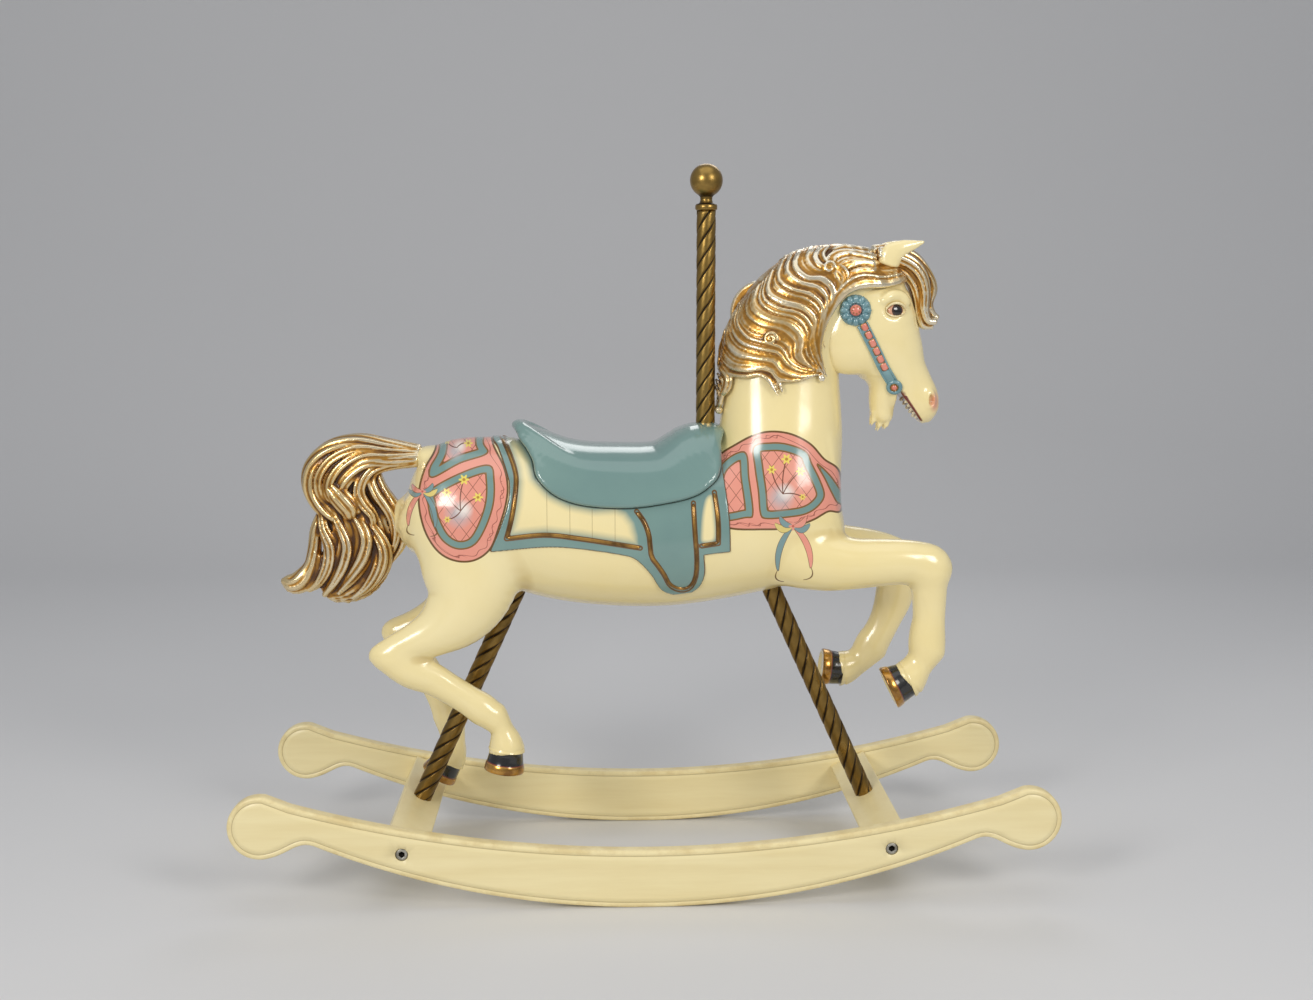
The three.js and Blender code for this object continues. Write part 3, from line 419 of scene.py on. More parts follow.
class Grid:
    """A box of sample points and the signed distance to the form at each, in millimetres."""

    def __init__(self, low, high, step):
        self.low, self.step = np.array(low, float), step
        self.count = [int((b - a) / step) + 2 for a, b in zip(low, high)]
        self.field = np.full(self.count, FAR, np.float32)

    def twin(self):
        """An empty grid of the same points."""
        return Grid(self.low, self.low + (np.array(self.count) - 2 + 0.01) * self.step, self.step)

    def whole(self):
        return tuple(slice(0, n) for n in self.count)

    def window(self, low, high):
        first = np.clip(((np.asarray(low) - self.low) / self.step).astype(int), 0, self.count)
        last = np.clip(((np.asarray(high) - self.low) / self.step).astype(int) + 2, 0, self.count)
        return tuple(slice(a, max(a, b)) for a, b in zip(first, last))

    def axes(self, window):
        lines = [self.low[k] + self.step * np.arange(s.start, s.stop) for k, s in enumerate(window)]
        x, y, z = (line.astype(np.float32) for line in lines)
        return x[:, None, None], y[None, :, None], z[None, None, :]

    def sample(self, x, y, z):
        place = (np.stack(np.broadcast_arrays(x, y, z), -1) - self.low) / self.step
        place = np.clip(place, 0, np.array(self.count) - 1.001)
        i = place.astype(int)
        f = place - i
        total = 0
        for corner in range(8):
            bits = [(corner >> k) & 1 for k in range(3)]
            share = np.prod([f[..., k] if b else 1 - f[..., k] for k, b in enumerate(bits)], axis=0)
            total = total + share * self.field[i[..., 0] + bits[0], i[..., 1] + bits[1], i[..., 2] + bits[2]]
        return total

    def normals(self, points, reach=3.0):
        slopes = []
        for k in range(3):
            shift = np.zeros(3)
            shift[k] = reach
            slopes.append(self.sample(*(points + shift).T) - self.sample(*(points - shift).T))
        return unit(np.stack(slopes, -1))


def join(a, b, k):
    """Union of two distances with a fillet about k wide."""
    if k <= 0:
        return np.minimum(a, b)
    h = np.maximum(k - np.abs(a - b), 0)
    return np.minimum(a, b) - h * h / (4 * k)


def dot(offsets, direction):
    """Dot product of a grid's offsets along x, y and z with one direction."""
    x, y, z = offsets
    return x * np.float32(direction[0]) + y * np.float32(direction[1]) + z * np.float32(direction[2])


def sweep_distance(grid, rows, spacing=9, square=2.0, cap=0.3, grow=0.0, margin=30,
                   flutes=0, depth_of=0.0, twist=0.0):
    """(window, distance) of a run of oval sections, with sharp grooves along it where it has flutes."""
    rows = even(rows, spacing)
    centre, half = rows[:, :3], rows[:, 3:5] + grow
    tangent = unit(np.gradient(centre, axis=0))
    depth = unit(np.stack([-tangent[:, 2], np.zeros(len(rows)), tangent[:, 0]], 1))
    width = np.cross(tangent, depth)
    reach = half.max(1)[:, None] + margin
    whole = grid.window((centre - reach).min(0), (centre + reach).max(0))
    run = np.concatenate([[0], np.cumsum(np.linalg.norm(np.diff(centre, axis=0), axis=1))])
    tips = cap * half[[0, -1]].min(1)
    found = np.full([s.stop - s.start for s in whole], FAR, np.float32)
    last = len(rows) - 2
    for i in range(last + 1):
        size = half[i:i + 2].max() + margin
        part = grid.window(centre[i:i + 2].min(0) - size, centre[i:i + 2].max(0) + size)
        part = tuple(slice(max(s.start, o.start), min(s.stop, o.stop)) for s, o in zip(part, whole))
        offsets = [a - c for a, c in zip(grid.axes(part), centre[i].astype(np.float32))]
        step = centre[i + 1] - centre[i]
        length = np.linalg.norm(step)
        rise = dot(offsets, unit(step))
        t = np.clip(rise / length, 0, 1)
        v = rise - t * length
        turn_d, turn_w = depth[i + 1] - depth[i], width[i + 1] - width[i]
        u = dot(offsets, depth[i]) + t * (dot(offsets, turn_d) - step @ depth[i]) - t * t * (step @ turn_d)
        w = dot(offsets, width[i]) + t * (dot(offsets, turn_w) - step @ width[i]) - t * t * (step @ turn_w)
        a = half[i, 0] + t * (half[i + 1, 0] - half[i, 0])
        b = half[i, 1] + t * (half[i + 1, 1] - half[i, 1])
        room = np.where(v < 0, run[i] + tips[0], run[-1] - run[i + 1] + tips[1])
        c = np.minimum(np.minimum(a, b), room)
        if flutes:
            turn = np.arctan2(w / b, u / a) + twist * (i + t)
            ripple = 1 + depth_of * (2 * np.abs(np.sin(flutes * turn / 2)) - 1)
            a, b = a * ripple, b * ripple
        if square == 2:
            k0 = np.sqrt((u / a) ** 2 + (w / b) ** 2 + (v / c) ** 2)
        else:
            section = (np.abs(u / a) ** square + np.abs(w / b) ** square) ** (1 / square)
            k0 = np.sqrt(section**2 + (v / c) ** 2)
        k1 = np.sqrt((u / a**2) ** 2 + (w / b**2) ** 2 + (v / c**2) ** 2) + 1e-5
        inner = tuple(slice(s.start - o.start, s.stop - o.start) for s, o in zip(part, whole))
        found[inner] = np.minimum(found[inner], (k0 * (k0 - 1) / k1).astype(np.float32))
    return whole, found


def add_sweep(grid, rows, fillet=0.0, **shape):
    window, distance = sweep_distance(grid, rows, **shape)
    grid.field[window] = join(grid.field[window], distance, fillet)


def cut_sweep(grid, rows, fillet, **shape):
    window, distance = sweep_distance(grid, rows, **shape)
    grid.field[window] = -join(-grid.field[window], distance, fillet)


def blob_distance(grid, at, radii, margin=12):
    radii = np.asarray(radii, float)
    window = grid.window(at - radii - margin, at + radii + margin)
    x, y, z = (a - c for a, c in zip(grid.axes(window), at))
    k0 = np.sqrt((x / radii[0]) ** 2 + (y / radii[1]) ** 2 + (z / radii[2]) ** 2)
    k1 = np.sqrt((x / radii[0] ** 2) ** 2 + (y / radii[1] ** 2) ** 2 + (z / radii[2] ** 2) ** 2) + 1e-5
    return window, k0 * (k0 - 1) / k1


def add_blob(grid, at, radii, fillet=4.0):
    window, distance = blob_distance(grid, np.asarray(at, float), radii)
    grid.field[window] = join(grid.field[window], distance, fillet)


def cut_blob(grid, at, radii, fillet=3.0):
    window, distance = blob_distance(grid, np.asarray(at, float), radii)
    grid.field[window] = -join(-grid.field[window], distance, fillet)


def add_strand(grid, points, radii, fillet=0.0):
    """A round tapering strand through points."""
    for start, end, r0, r1 in zip(points[:-1], points[1:], radii[:-1], radii[1:]):
        reach = max(r0, r1) + 2.5 * grid.step
        window = grid.window(np.minimum(start, end) - reach, np.maximum(start, end) + reach)
        dx, dy, dz = (a - c for a, c in zip(grid.axes(window), start.astype(np.float32)))
        step = end - start
        t = np.clip((dx * step[0] + dy * step[1] + dz * step[2]) / max(step @ step, 1e-6), 0, 1)
        off = np.sqrt((dx - t * step[0]) ** 2 + (dy - t * step[1]) ** 2 + (dz - t * step[2]) ** 2)
        distance = off - (r0 + t * (r1 - r0))
        grid.field[window] = join(grid.field[window], distance, fillet)


def cast(grid, line, side=NEAR_SIDE, rise=0.0):
    """Places where rays of the side drawing first meet a form; on the middle plane where they miss it."""
    line = np.asarray(line, float)
    depth = np.arange(140.0, -1.5, -1.5)
    x, z = from_drawing(line[:, :1], line[:, 1:2], depth[None])
    level = grid.sample(x, side * depth[None] + 0 * x, z) - rise
    hit = level < 0
    first = np.where(hit.any(1), hit.argmax(1), len(depth) - 1)
    row = np.arange(len(line))
    before = np.maximum(first - 1, 0)
    high, low = level[row, before], level[row, first]
    share = np.clip(high / np.where(high - low == 0, 1, high - low), 0, 1)
    y = np.where(hit.any(1), depth[before] + share * (depth[first] - depth[before]), 0)
    x, z = from_drawing(line[:, 0], line[:, 1], y)
    return np.stack([x, side * y, z], 1)


# ------------------------------------------------------------------ surfaces from grids


def net(grid):
    """Corners and four-sided faces of the surface where a grid's distance is zero."""
    f = grid.field
    inside = f < 0
    shape = [n - 1 for n in f.shape]
    corners = [(i, j, k) for i in (0, 1) for j in (0, 1) for k in (0, 1)]
    total = sum(inside[i:shape[0] + i, j:shape[1] + j, k:shape[2] + k].astype(np.int8) for i, j, k in corners)
    active = (total > 0) & (total < 8)
    cells = np.argwhere(active)
    number = np.full(shape, -1, np.int64)
    number[active] = np.arange(len(cells))
    level = [f[cells[:, 0] + i, cells[:, 1] + j, cells[:, 2] + k] for i, j, k in corners]
    place = np.zeros((len(cells), 3))
    met = np.zeros(len(cells))
    for a in range(8):
        for axis in range(3):
            b = a + (4, 2, 1)[axis]
            if corners[a][axis]:
                continue
            crosses = (level[a] < 0) != (level[b] < 0)
            t = level[a] / np.where(level[a] == level[b], 1, level[a] - level[b])
            point = np.tile(np.array(corners[a], float), (len(cells), 1))
            point[:, axis] = t
            place += np.where(crosses[:, None], point, 0)
            met += crosses
    points = (cells + place / met[:, None]) * grid.step + grid.low
    faces = []
    for axis in range(3):
        a, b = (axis + 1) % 3, (axis + 2) % 3
        here = [slice(1, -1)] * 3
        there = list(here)
        there[axis] = slice(2, None)
        start, end = inside[tuple(here)], inside[tuple(there)]
        for keep, flip in ((start & ~end, False), (~start & end, True)):
            p = np.argwhere(keep) + 1
            back_a, back_b = np.zeros(3, int), np.zeros(3, int)
            back_a[a], back_b[b] = 1, 1
            quad = [p, p - back_a, p - back_a - back_b, p - back_b]
            quad = np.stack([number[tuple(q.T)] for q in quad], 1)
            faces.append(quad[:, ::-1] if flip else quad)
    return points, np.vstack(faces)


def neighbour_mean(points, faces):
    """A function that gives the mean of each corner's neighbours along the edges."""
    edges = np.vstack([faces[:, [k, (k + 1) % 4]] for k in range(4)])
    edges = np.unique(np.sort(edges, 1), axis=0)
    a, b = np.concatenate([edges[:, 0], edges[:, 1]]), np.concatenate([edges[:, 1], edges[:, 0]])
    count = np.maximum(np.bincount(a, minlength=len(points)), 1)[:, None]

    def mean(p):
        return np.stack([np.bincount(a, p[b, k], len(points)) for k in range(p.shape[1])], 1) / count

    return mean


def relax(points, faces, rounds):
    """Evens the surface out without shrinking it."""
    mean = neighbour_mean(points, faces)
    for _ in range(rounds):
        points = points + CENTRE_PULL * (mean(points) - points)
        points = points - CENTRE_PUSH * (mean(points) - points)
    return points


def surface(grid, rounds):
    """Corners and faces of the form in a grid, evened out."""
    points, faces = net(grid)
    return relax(points, faces, rounds), faces


def corner_normals(points, faces):
    a, b, c, d = (points[faces[:, k]] for k in range(4))
    flat = np.cross(c - a, d - b)
    total = np.zeros_like(points)
    for k in range(4):
        for axis in range(3):
            total[:, axis] += np.bincount(faces[:, k], flat[:, axis], len(points))
    return unit(total)


def height_over_mean(points, faces, rounds):
    """How far each corner stands above the surface with its small forms smoothed away."""
    mean = neighbour_mean(points, faces)
    flat = points
    for _ in range(rounds):
        flat = mean(flat)
    return ((points - flat) * corner_normals(points, faces)).sum(1)


# ------------------------------------------------------------------ pieces


def outward(points, faces):
    """The same faces of a closed body, turned so that they point out."""
    quads = np.array([face for face in faces if len(face) == 4]).reshape(-1, 4)
    start, *others = (points[quads[:, k]] for k in range(4))
    volume = sum((start * np.cross(a, b)).sum() for a, b in zip(others, others[1:]))
    for face in faces:
        if len(face) != 4:
            corners = points[list(face)]
            volume += (corners[0] * np.cross(corners[1:-1], corners[2:])).sum()
    return faces if volume > 0 else [face[::-1] for face in faces]


class Shell:
    """Corners in millimetres, faces and named numbers at the corners, gathered for one piece."""

    def __init__(self):
        self.points, self.faces, self.marks, self.total = [], [], {}, 0

    def add(self, points, faces, **marks):
        points = np.asarray(points, float)
        self.points.append(points)
        faces = outward(points, [list(face) for face in faces])
        self.faces.extend([[int(i) + self.total for i in face] for face in faces])
        for name in set(self.marks) | set(marks):
            runs = self.marks.setdefault(name, [np.zeros(self.total)])
            runs.append(np.broadcast_to(np.asarray(marks.get(name, 0.0), float), len(points)))
        self.total += len(points)

    def add_both_sides(self, points, faces, **marks):
        self.add(points, faces, **marks)
        self.add(np.asarray(points) * (1, -1, 1), faces, **marks)

    def piece(self, name, material, slot):
        return make_piece(name, np.vstack(self.points), self.faces, material,
                          {k: np.concatenate(v) for k, v in self.marks.items()})


def make_piece(name, points, faces, material, marks=None):
    mesh = bpy.data.meshes.new(name)
    faces = outward(np.asarray(points, float), faces.tolist() if isinstance(faces, np.ndarray) else faces)
    mesh.from_pydata((np.asarray(points) * MM).tolist(), [], faces)
    mesh.polygons.foreach_set("use_smooth", np.ones(len(faces), bool))
    for key, values in (marks or {}).items():
        mesh.attributes.new(key, "FLOAT", "POINT").data.foreach_set("value", np.asarray(values, np.float32))
    mesh.materials.append(material)
    mesh.update()
    obj = bpy.data.objects.new(name, mesh)
    bpy.context.scene.collection.objects.link(obj)
    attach(obj, "root")
    return obj


def ring_faces(rings, sides, closed=False):
    """Faces over rings of corners, with a flat cap at each end where the run is open."""
    faces = []
    for i in range(rings if closed else rings - 1):
        a, b = i * sides, ((i + 1) % rings) * sides
        faces += [[a + j, a + (j + 1) % sides, b + (j + 1) % sides, b + j] for j in range(sides)]
    if not closed:
        faces.append(list(range(sides))[::-1])
        faces.append([(rings - 1) * sides + j for j in range(sides)])
    return faces


def bead(line, normals, half_width, half_height, sides=8, closed=False):
    """Corners and faces of an oval run laid along points of a surface."""
    line = np.asarray(line, float)
    if closed:
        tangent = unit(np.roll(line, -1, 0) - np.roll(line, 1, 0))
    else:
        tangent = unit(np.gradient(line, axis=0))
    across = unit(np.cross(normals, tangent))
    up = np.cross(tangent, across)
    w = np.broadcast_to(np.asarray(half_width, float), len(line))[:, None, None]
    h = np.broadcast_to(np.asarray(half_height, float), len(line))[:, None, None]
    angle = (2 * np.pi * (np.arange(sides) + 0.5) / sides)[None, :, None]
    points = line[:, None] + across[:, None] * w * np.cos(angle) + up[:, None] * h * np.sin(angle)
    return points.reshape(-1, 3), ring_faces(len(line), sides, closed)


def lathe(profile, sides):
    """Corners and faces of a profile of (radius, height) turned round +Z; it starts and ends near the axis."""
    angle = 2 * np.pi * np.arange(sides) / sides
    rings = [np.stack([r * np.cos(angle), r * np.sin(angle), np.full(sides, z)], 1) for r, z in profile]
    return np.vstack(rings), ring_faces(len(profile), sides)


def placed(points, at, normal):
    """Puts a form that stands on +Z at a place, with +Z along the normal there."""
    z = unit(np.asarray(normal, float))
    x = unit(np.cross((0.0, 0.0, 1.0), z))
    y = np.cross(z, x)
    return np.asarray(at) + points @ np.stack([x, y, z])


def turned(points, turn):
    """Places turned about +Z."""
    x, y, z = points.T
    return np.stack([x * np.cos(turn) - y * np.sin(turn), x * np.sin(turn) + y * np.cos(turn), z], 1)


def leaned(x, z, turn):
    """Places of the side plane turned about the y axis."""
    return x * math.cos(turn) + z * math.sin(turn), z * math.cos(turn) - x * math.sin(turn)


# ------------------------------------------------------------------ node materials


def colour(code):
    """Linear colour from an sRGB hex code."""
    parts = [int(code[i:i + 2], 16) / 255 for i in (1, 3, 5)]
    return tuple(c / 12.92 if c <= 0.04045 else ((c + 0.055) / 1.055) ** 2.4 for c in parts) + (1.0,)


class Paint:
    """A node material with short calls for what the finishes need."""

    def __init__(self, name, **values):
        self.material = bpy.data.materials.new(name)
        self.material.use_nodes = True
        self.tree = self.material.node_tree
        self.shader = self.tree.nodes["Principled BSDF"]
        for key, value in values.items():
            self.shader.inputs[key.replace("_", " ")].default_value = value
        self.place = self.tree.nodes.new("ShaderNodeTexCoord").outputs["Object"]

    def feed(self, socket, value):
        if isinstance(value, bpy.types.NodeSocket):
            self.tree.links.new(value, socket)
        else:
            socket.default_value = value

    def mark(self, name):
        node = self.tree.nodes.new("ShaderNodeAttribute")
        node.attribute_name = name
        return node.outputs["Fac"]

    def math(self, operation, a, b=0.0, c=0.0):
        node = self.tree.nodes.new("ShaderNodeMath")
        node.operation = operation
        for socket, value in zip(node.inputs, (a, b, c)):
            self.feed(socket, value)
        return node.outputs[0]

    def ramp(self, value, low, high, at_low=0.0, at_high=1.0):
        """A straight ramp between two values, held beyond them."""
        node = self.tree.nodes.new("ShaderNodeMapRange")
        for socket, v in zip(node.inputs, (value, low, high, at_low, at_high)):
            self.feed(socket, v)
        return node.outputs[0]

    def band(self, value, centre, half, soft=0.25):
        """1 where a value lies within `half` of a centre."""
        return self.ramp(self.math("ABSOLUTE", self.math("SUBTRACT", value, centre)), half + soft, half - soft)

    def stroke(self, x, z, start, end, bend, half, fullness=1.0):
        """Distance off a bowed brush stroke that tapers to both ends, below zero inside it."""
        dx, dz = end[0] - start[0], end[1] - start[1]
        length = math.hypot(dx, dz)
        along = self.math("MULTIPLY_ADD", x, dx / length**2, -(start[0] * dx + start[1] * dz) / length**2)
        along = self.math("MULTIPLY_ADD", z, dz / length**2, along)
        across = self.math("MULTIPLY_ADD", x, -dz / length, (start[0] * dz - start[1] * dx) / length)
        across = self.math("MULTIPLY_ADD", z, dx / length, across)
        arch = self.math("MULTIPLY", along, self.math("MULTIPLY_ADD", along, -4.0, 4.0))
        off = self.math("ABSOLUTE", self.math("MULTIPLY_ADD", arch, -bend, across))
        width = self.math("POWER", self.math("MAXIMUM", arch, 0.0), 0.5 * fullness)
        inside = self.math("MULTIPLY_ADD", width, -half, off)
        beyond = self.math("MULTIPLY", self.math("LESS_THAN", arch, 0.0), 9.0)
        return self.math("ADD", inside, beyond)

    def ribbon(self, base, x, z, run, fill, edge):
        """Paints a stroke with a thin outline over a base."""
        off = self.stroke(x, z, *run)
        base = self.mix(self.ramp(off, 1.0, 0.6), base, edge)
        return self.mix(self.ramp(off, 0.2, -0.2), base, fill)

    def blossom(self, base, x, z, centre, radius, petals, fill, heart):
        """Paints a soft round flower over a base."""
        dx, dz = self.math("SUBTRACT", x, centre[0]), self.math("SUBTRACT", z, centre[1])
        away = self.math("SQRT", self.math("MULTIPLY_ADD", dx, dx, self.math("MULTIPLY", dz, dz)))
        wave = self.math("COSINE", self.math("MULTIPLY", self.math("ARCTAN2", dz, dx), petals))
        edge = self.math("MULTIPLY_ADD", wave, 0.24 * radius, 0.76 * radius)
        off = self.math("SUBTRACT", away, edge)
        base = self.mix(self.ramp(off, 0.5, -1.2, 0.0, 0.95), base, fill)
        return self.mix(self.ramp(away, 0.34 * radius, 0.22 * radius), base, heart)

    def cloud(self, base, x, z, centre, radius, tint, share):
        """Airbrushes a soft spot over a base."""
        dx, dz = self.math("SUBTRACT", x, centre[0]), self.math("SUBTRACT", z, centre[1])
        away = self.math("SQRT", self.math("MULTIPLY_ADD", dx, dx, self.math("MULTIPLY", dz, dz)))
        return self.mix(self.ramp(away, radius, 0.2 * radius, 0.0, share), base, tint)

    def mix(self, share, a, b):
        node = self.tree.nodes.new("ShaderNodeMix")
        node.data_type = "RGBA"
        for name, value in (("Factor_Float", share), ("A_Color", a), ("B_Color", b)):
            socket = next(s for s in node.inputs if s.identifier == name)
            self.feed(socket, value)
        return next(s for s in node.outputs if s.identifier == "Result_Color")

    def noise(self, scale, detail=3.0, roughness=0.5, stretch=None):
        node = self.tree.nodes.new("ShaderNodeTexNoise")
        place = self.place
        if stretch:
            mapping = self.tree.nodes.new("ShaderNodeMapping")
            mapping.inputs["Scale"].default_value = stretch
            self.feed(mapping.inputs["Vector"], place)
            place = mapping.outputs[0]
        self.feed(node.inputs["Vector"], place)
        node.inputs["Scale"].default_value = scale
        node.inputs["Detail"].default_value = detail
        node.inputs["Roughness"].default_value = roughness
        return node.outputs["Fac"]

    def bump(self, height, distance, strength=1.0):
        node = self.tree.nodes.new("ShaderNodeBump")
        node.inputs["Distance"].default_value = distance
        node.inputs["Strength"].default_value = strength
        self.feed(node.inputs["Height"], height)
        self.feed(self.shader.inputs["Normal"], node.outputs[0])

    def finish(self, base, roughness=None, metallic=None):
        self.feed(self.shader.inputs["Base Color"], base)
        if roughness is not None:
            self.feed(self.shader.inputs["Roughness"], roughness)
        if metallic is not None:
            self.feed(self.shader.inputs["Metallic"], metallic)
        return self.material


CREAM = colour("#f5e2a4")
# deeper cream for the painted shade in the hollows
CREAM_SHADE = colour("#d9bf7c")
CREAM_LIGHT = colour("#f9edbf")
BLUE = colour("#789892")
BLUE_DARK = colour("#5f7f80")
PINK = colour("#eb9a86")
PINK_DEEP = colour("#c9624f")
LINE_BROWN = colour("#6b4a1e")
ROCKER = colour("#f4e5b2")


def lacquer_cream(p):
    """Cream lacquer, a little uneven, with painted shade darkening it in the hollows."""
    cloud = p.noise(6.0, 4.0)
    base = p.mix(p.ramp(cloud, 0.35, 0.7, 0.0, 0.45), CREAM, CREAM_LIGHT)
    # painted shade: deeper cream where the surface lies in a hollow
    hollow = p.ramp(p.mark("hollow_shade"), 0.1, 1.0, 0.0, 0.75)
    return p.mix(hollow, base, CREAM_SHADE)


def lacquer_gloss(p):
    fine = p.noise(60.0, 2.0)
    wave = p.noise(14.0, 2.0)
    p.bump(p.math("ADD", p.math("MULTIPLY", fine, 0.15), wave), 0.0004, 0.5)
    return p.ramp(p.noise(9.0, 3.0), 0.3, 0.7, 0.16, 0.26)


def lattice(p, across, along, pitch, slope, half):
    """Thin slanting lines at an even pitch over the drawing's axes."""
    line = p.math("ADD", across, p.math("MULTIPLY", along, slope))
    turn = p.math("FRACT", p.math("DIVIDE", line, pitch))
    return p.band(turn, 0.5, half / pitch, 0.3 / pitch)


def band_paint(p, base, band, panel):
    """Pink band with a dark outline and a vine, blue-bordered panels and a lattice inside them."""
    x, z = p.mark("draw_x"), p.mark("draw_z")
    in_band = p.ramp(band, 0.35, -0.35)
    in_panel = p.ramp(panel, 0.3, -0.3)
    inner = p.ramp(panel, -PANEL_BORDER + 0.3, -PANEL_BORDER - 0.3)
    pink = p.mix(p.ramp(p.noise(16.0, 2.0), 0.45, 0.72, 0.0, 0.35), PINK, colour("#f0ac96"))
    run = p.math("MULTIPLY_ADD", z, 1.3, x)
    wave = p.math("SINE", p.math("MULTIPLY", run, 0.17))
    vine = p.band(p.math("MULTIPLY_ADD", wave, 2.2, band), -8.5, 0.55)
    leaf = p.band(p.math("MULTIPLY_ADD", p.math("SINE", p.math("MULTIPLY", run, 0.34)), 2.4, band), -8.0, 0.5)
    sprig = p.math("MULTIPLY", leaf, p.ramp(p.math("SINE", p.math("MULTIPLY", run, 0.057)), 0.25, 0.45))
    strip = p.mix(p.math("MULTIPLY", p.math("MAXIMUM", vine, sprig), 0.85), pink, colour("#8a4030"))
    lines = p.math("MAXIMUM", lattice(p, x, z, 23.0, 0.75, 0.6), lattice(p, x, z, 23.0, -0.75, 0.6))
    field = p.mix(p.math("MULTIPLY", lines, 0.85), pink, colour("#7a3f24"))
    blue = p.mix(p.ramp(p.noise(20.0), 0.4, 0.7, 0.0, 0.3), BLUE, BLUE_DARK)
    painted = p.mix(in_panel, strip, p.mix(inner, blue, field))
    edges = p.math("MAXIMUM", p.band(panel, 0.0, 1.2), p.band(panel, -PANEL_BORDER, 1.2))
    painted = p.mix(edges, painted, colour("#8a6226"))
    dark = p.math("MAXIMUM", p.band(panel, 0.9, 0.45), p.band(panel, -PANEL_BORDER - 0.9, 0.45))
    painted = p.mix(dark, painted, LINE_BROWN)
    result = p.mix(in_band, base, painted)
    return p.mix(p.band(band, 0.0, 1.6), result, LINE_BROWN)


def spray_paint(p, base):
    """Airbrushed blossoms with small yellow flowers on bowed stems."""
    x, z = p.mark("draw_x"), p.mark("draw_z")
    for (cx, cz), radius, flowers in SPRAYS:
        base = p.cloud(base, x, z, (cx - 4, cz - 6), 1.5 * radius, colour("#b9bcc0"), 0.8)
        base = p.cloud(base, x, z, (cx + 5, cz + 3), radius, colour("#f7efe6"), 0.9)
        for fx, fz, size in flowers:
            stem = p.stroke(x, z, (cx, cz), (fx, fz), 3.0, 0.9, 0.2)
            base = p.mix(p.ramp(stem, 0.3, -0.3), base, colour("#6c3a20"))
            base = p.blossom(base, x, z, (fx, fz), size, 6, colour("#f2de62"), colour("#b98a3a"))
    return base


BOW_BLUE, BOW_YELLOW = colour("#7a9a9c"), colour("#e3cf7a")
# a bow's strokes, each from the knot and over the last one: tip, bend, half width, colour
BOW_STROKES = [
    ((-24, -74), -9, 4.6, BOW_BLUE), ((30, -70), 9, 4.6, PINK), ((-30, 4), 7, 5.5, BOW_YELLOW),
    ((28, 3), -7, 5.5, BOW_BLUE), ((-22, 16), 5, 4.5, BOW_BLUE), ((21, 15), -5, 4.5, PINK),
]
# the thin curls that its two tails end in: start, end, bend
BOW_CURLS = [((-24, -72), (-14, -92), -9), ((30, -68), (18, -89), 9)]


def bow_paint(p, base):
    """Tied bows: two tails, four loops and a knot."""
    x, z = p.mark("draw_x"), p.mark("draw_z")
    for (cx, cz), size, way in BOWS:
        turn = way * size
        for (dx, dz), bend, half, fill in BOW_STROKES:
            run = ((cx, cz), (cx + turn * dx, cz + size * dz), bend * turn, half * size)
            base = p.ribbon(base, x, z, run, fill, LINE_BROWN)
        for *ends, bend in BOW_CURLS:
            start, end = [(cx + turn * dx, cz + size * dz) for dx, dz in ends]
            curl = p.stroke(x, z, start, end, bend * turn, 1.1, 0.2)
            base = p.mix(p.ramp(curl, 0.3, -0.3), base, LINE_BROWN)
        base = p.blossom(base, x, z, (cx, cz), 7.5 * size, 4, PINK, PINK_DEEP)
    return base


def horse_paint():
    p = Paint("horse_lacquer_painted", Coat_Weight=0.8, Coat_Roughness=0.15, Specular_IOR_Level=0.5)
    base = lacquer_cream(p)
    base = band_paint(p, base, p.mark("rump_band"), p.mark("panel"))
    base = band_paint(p, base, p.mark("chest_band"), p.mark("panel"))
    base = spray_paint(p, base)
    base = bow_paint(p, base)
    return p.finish(base, lacquer_gloss(p))


def cloth_paint():
    p = Paint("saddle_cloth_paint", Coat_Weight=0.9, Coat_Roughness=0.1)
    x = p.mark("draw_x")
    quilt, front, edge = p.mark("quilt"), p.mark("front_panel"), p.mark("cloth")
    cream = lacquer_cream(p)
    blue = p.mix(p.ramp(p.noise(9.0), 0.4, 0.7, 0.0, 0.35), BLUE, BLUE_DARK)
    brushed = p.math("POWER", p.ramp(quilt, -17.0, -1.0), 1.4)
    panel = p.mix(brushed, cream, blue)
    for seam in QUILT_SEAMS:
        line = p.math("MULTIPLY", p.band(x, seam, 0.3), p.ramp(quilt, -3.0, -4.0))
        panel = p.mix(p.math("MULTIPLY", line, 0.8), panel, LINE_BROWN)
    base = p.mix(p.ramp(quilt, 0.4, -0.4), blue, panel)
    front_face = p.mix(p.math("POWER", p.ramp(front, -8.0, -0.5), 1.3), cream, blue)
    base = p.mix(p.ramp(front, 0.4, -0.4), base, front_face)
    base = p.mix(p.band(p.mark("pipe"), 3.0, 1.3), base, LINE_BROWN)
    # a dark line along the saddle's lower edge: partly its painted outline, partly painted shade under the
    # overhanging edge
    base = p.mix(p.band(p.mark("skirt"), 0.0, 1.6, 0.6), base, colour("#3f4a42"))
    base = p.mix(p.band(edge, 0.0, 2.2), base, LINE_BROWN)
    return p.finish(base, lacquer_gloss(p))


def saddle_paint():
    p = Paint("saddle_lacquer", Coat_Weight=0.9, Coat_Roughness=0.12)
    base = p.mix(p.ramp(p.noise(7.0), 0.35, 0.7, 0.0, 0.4), BLUE, BLUE_DARK)
    # painted shade: darker blue-green in the saddle's hollows
    base = p.mix(p.ramp(p.mark("hollow_shade"), 0.15, 1.0, 0.0, 0.6), base, colour("#4b6666"))
    return p.finish(base, lacquer_gloss(p))


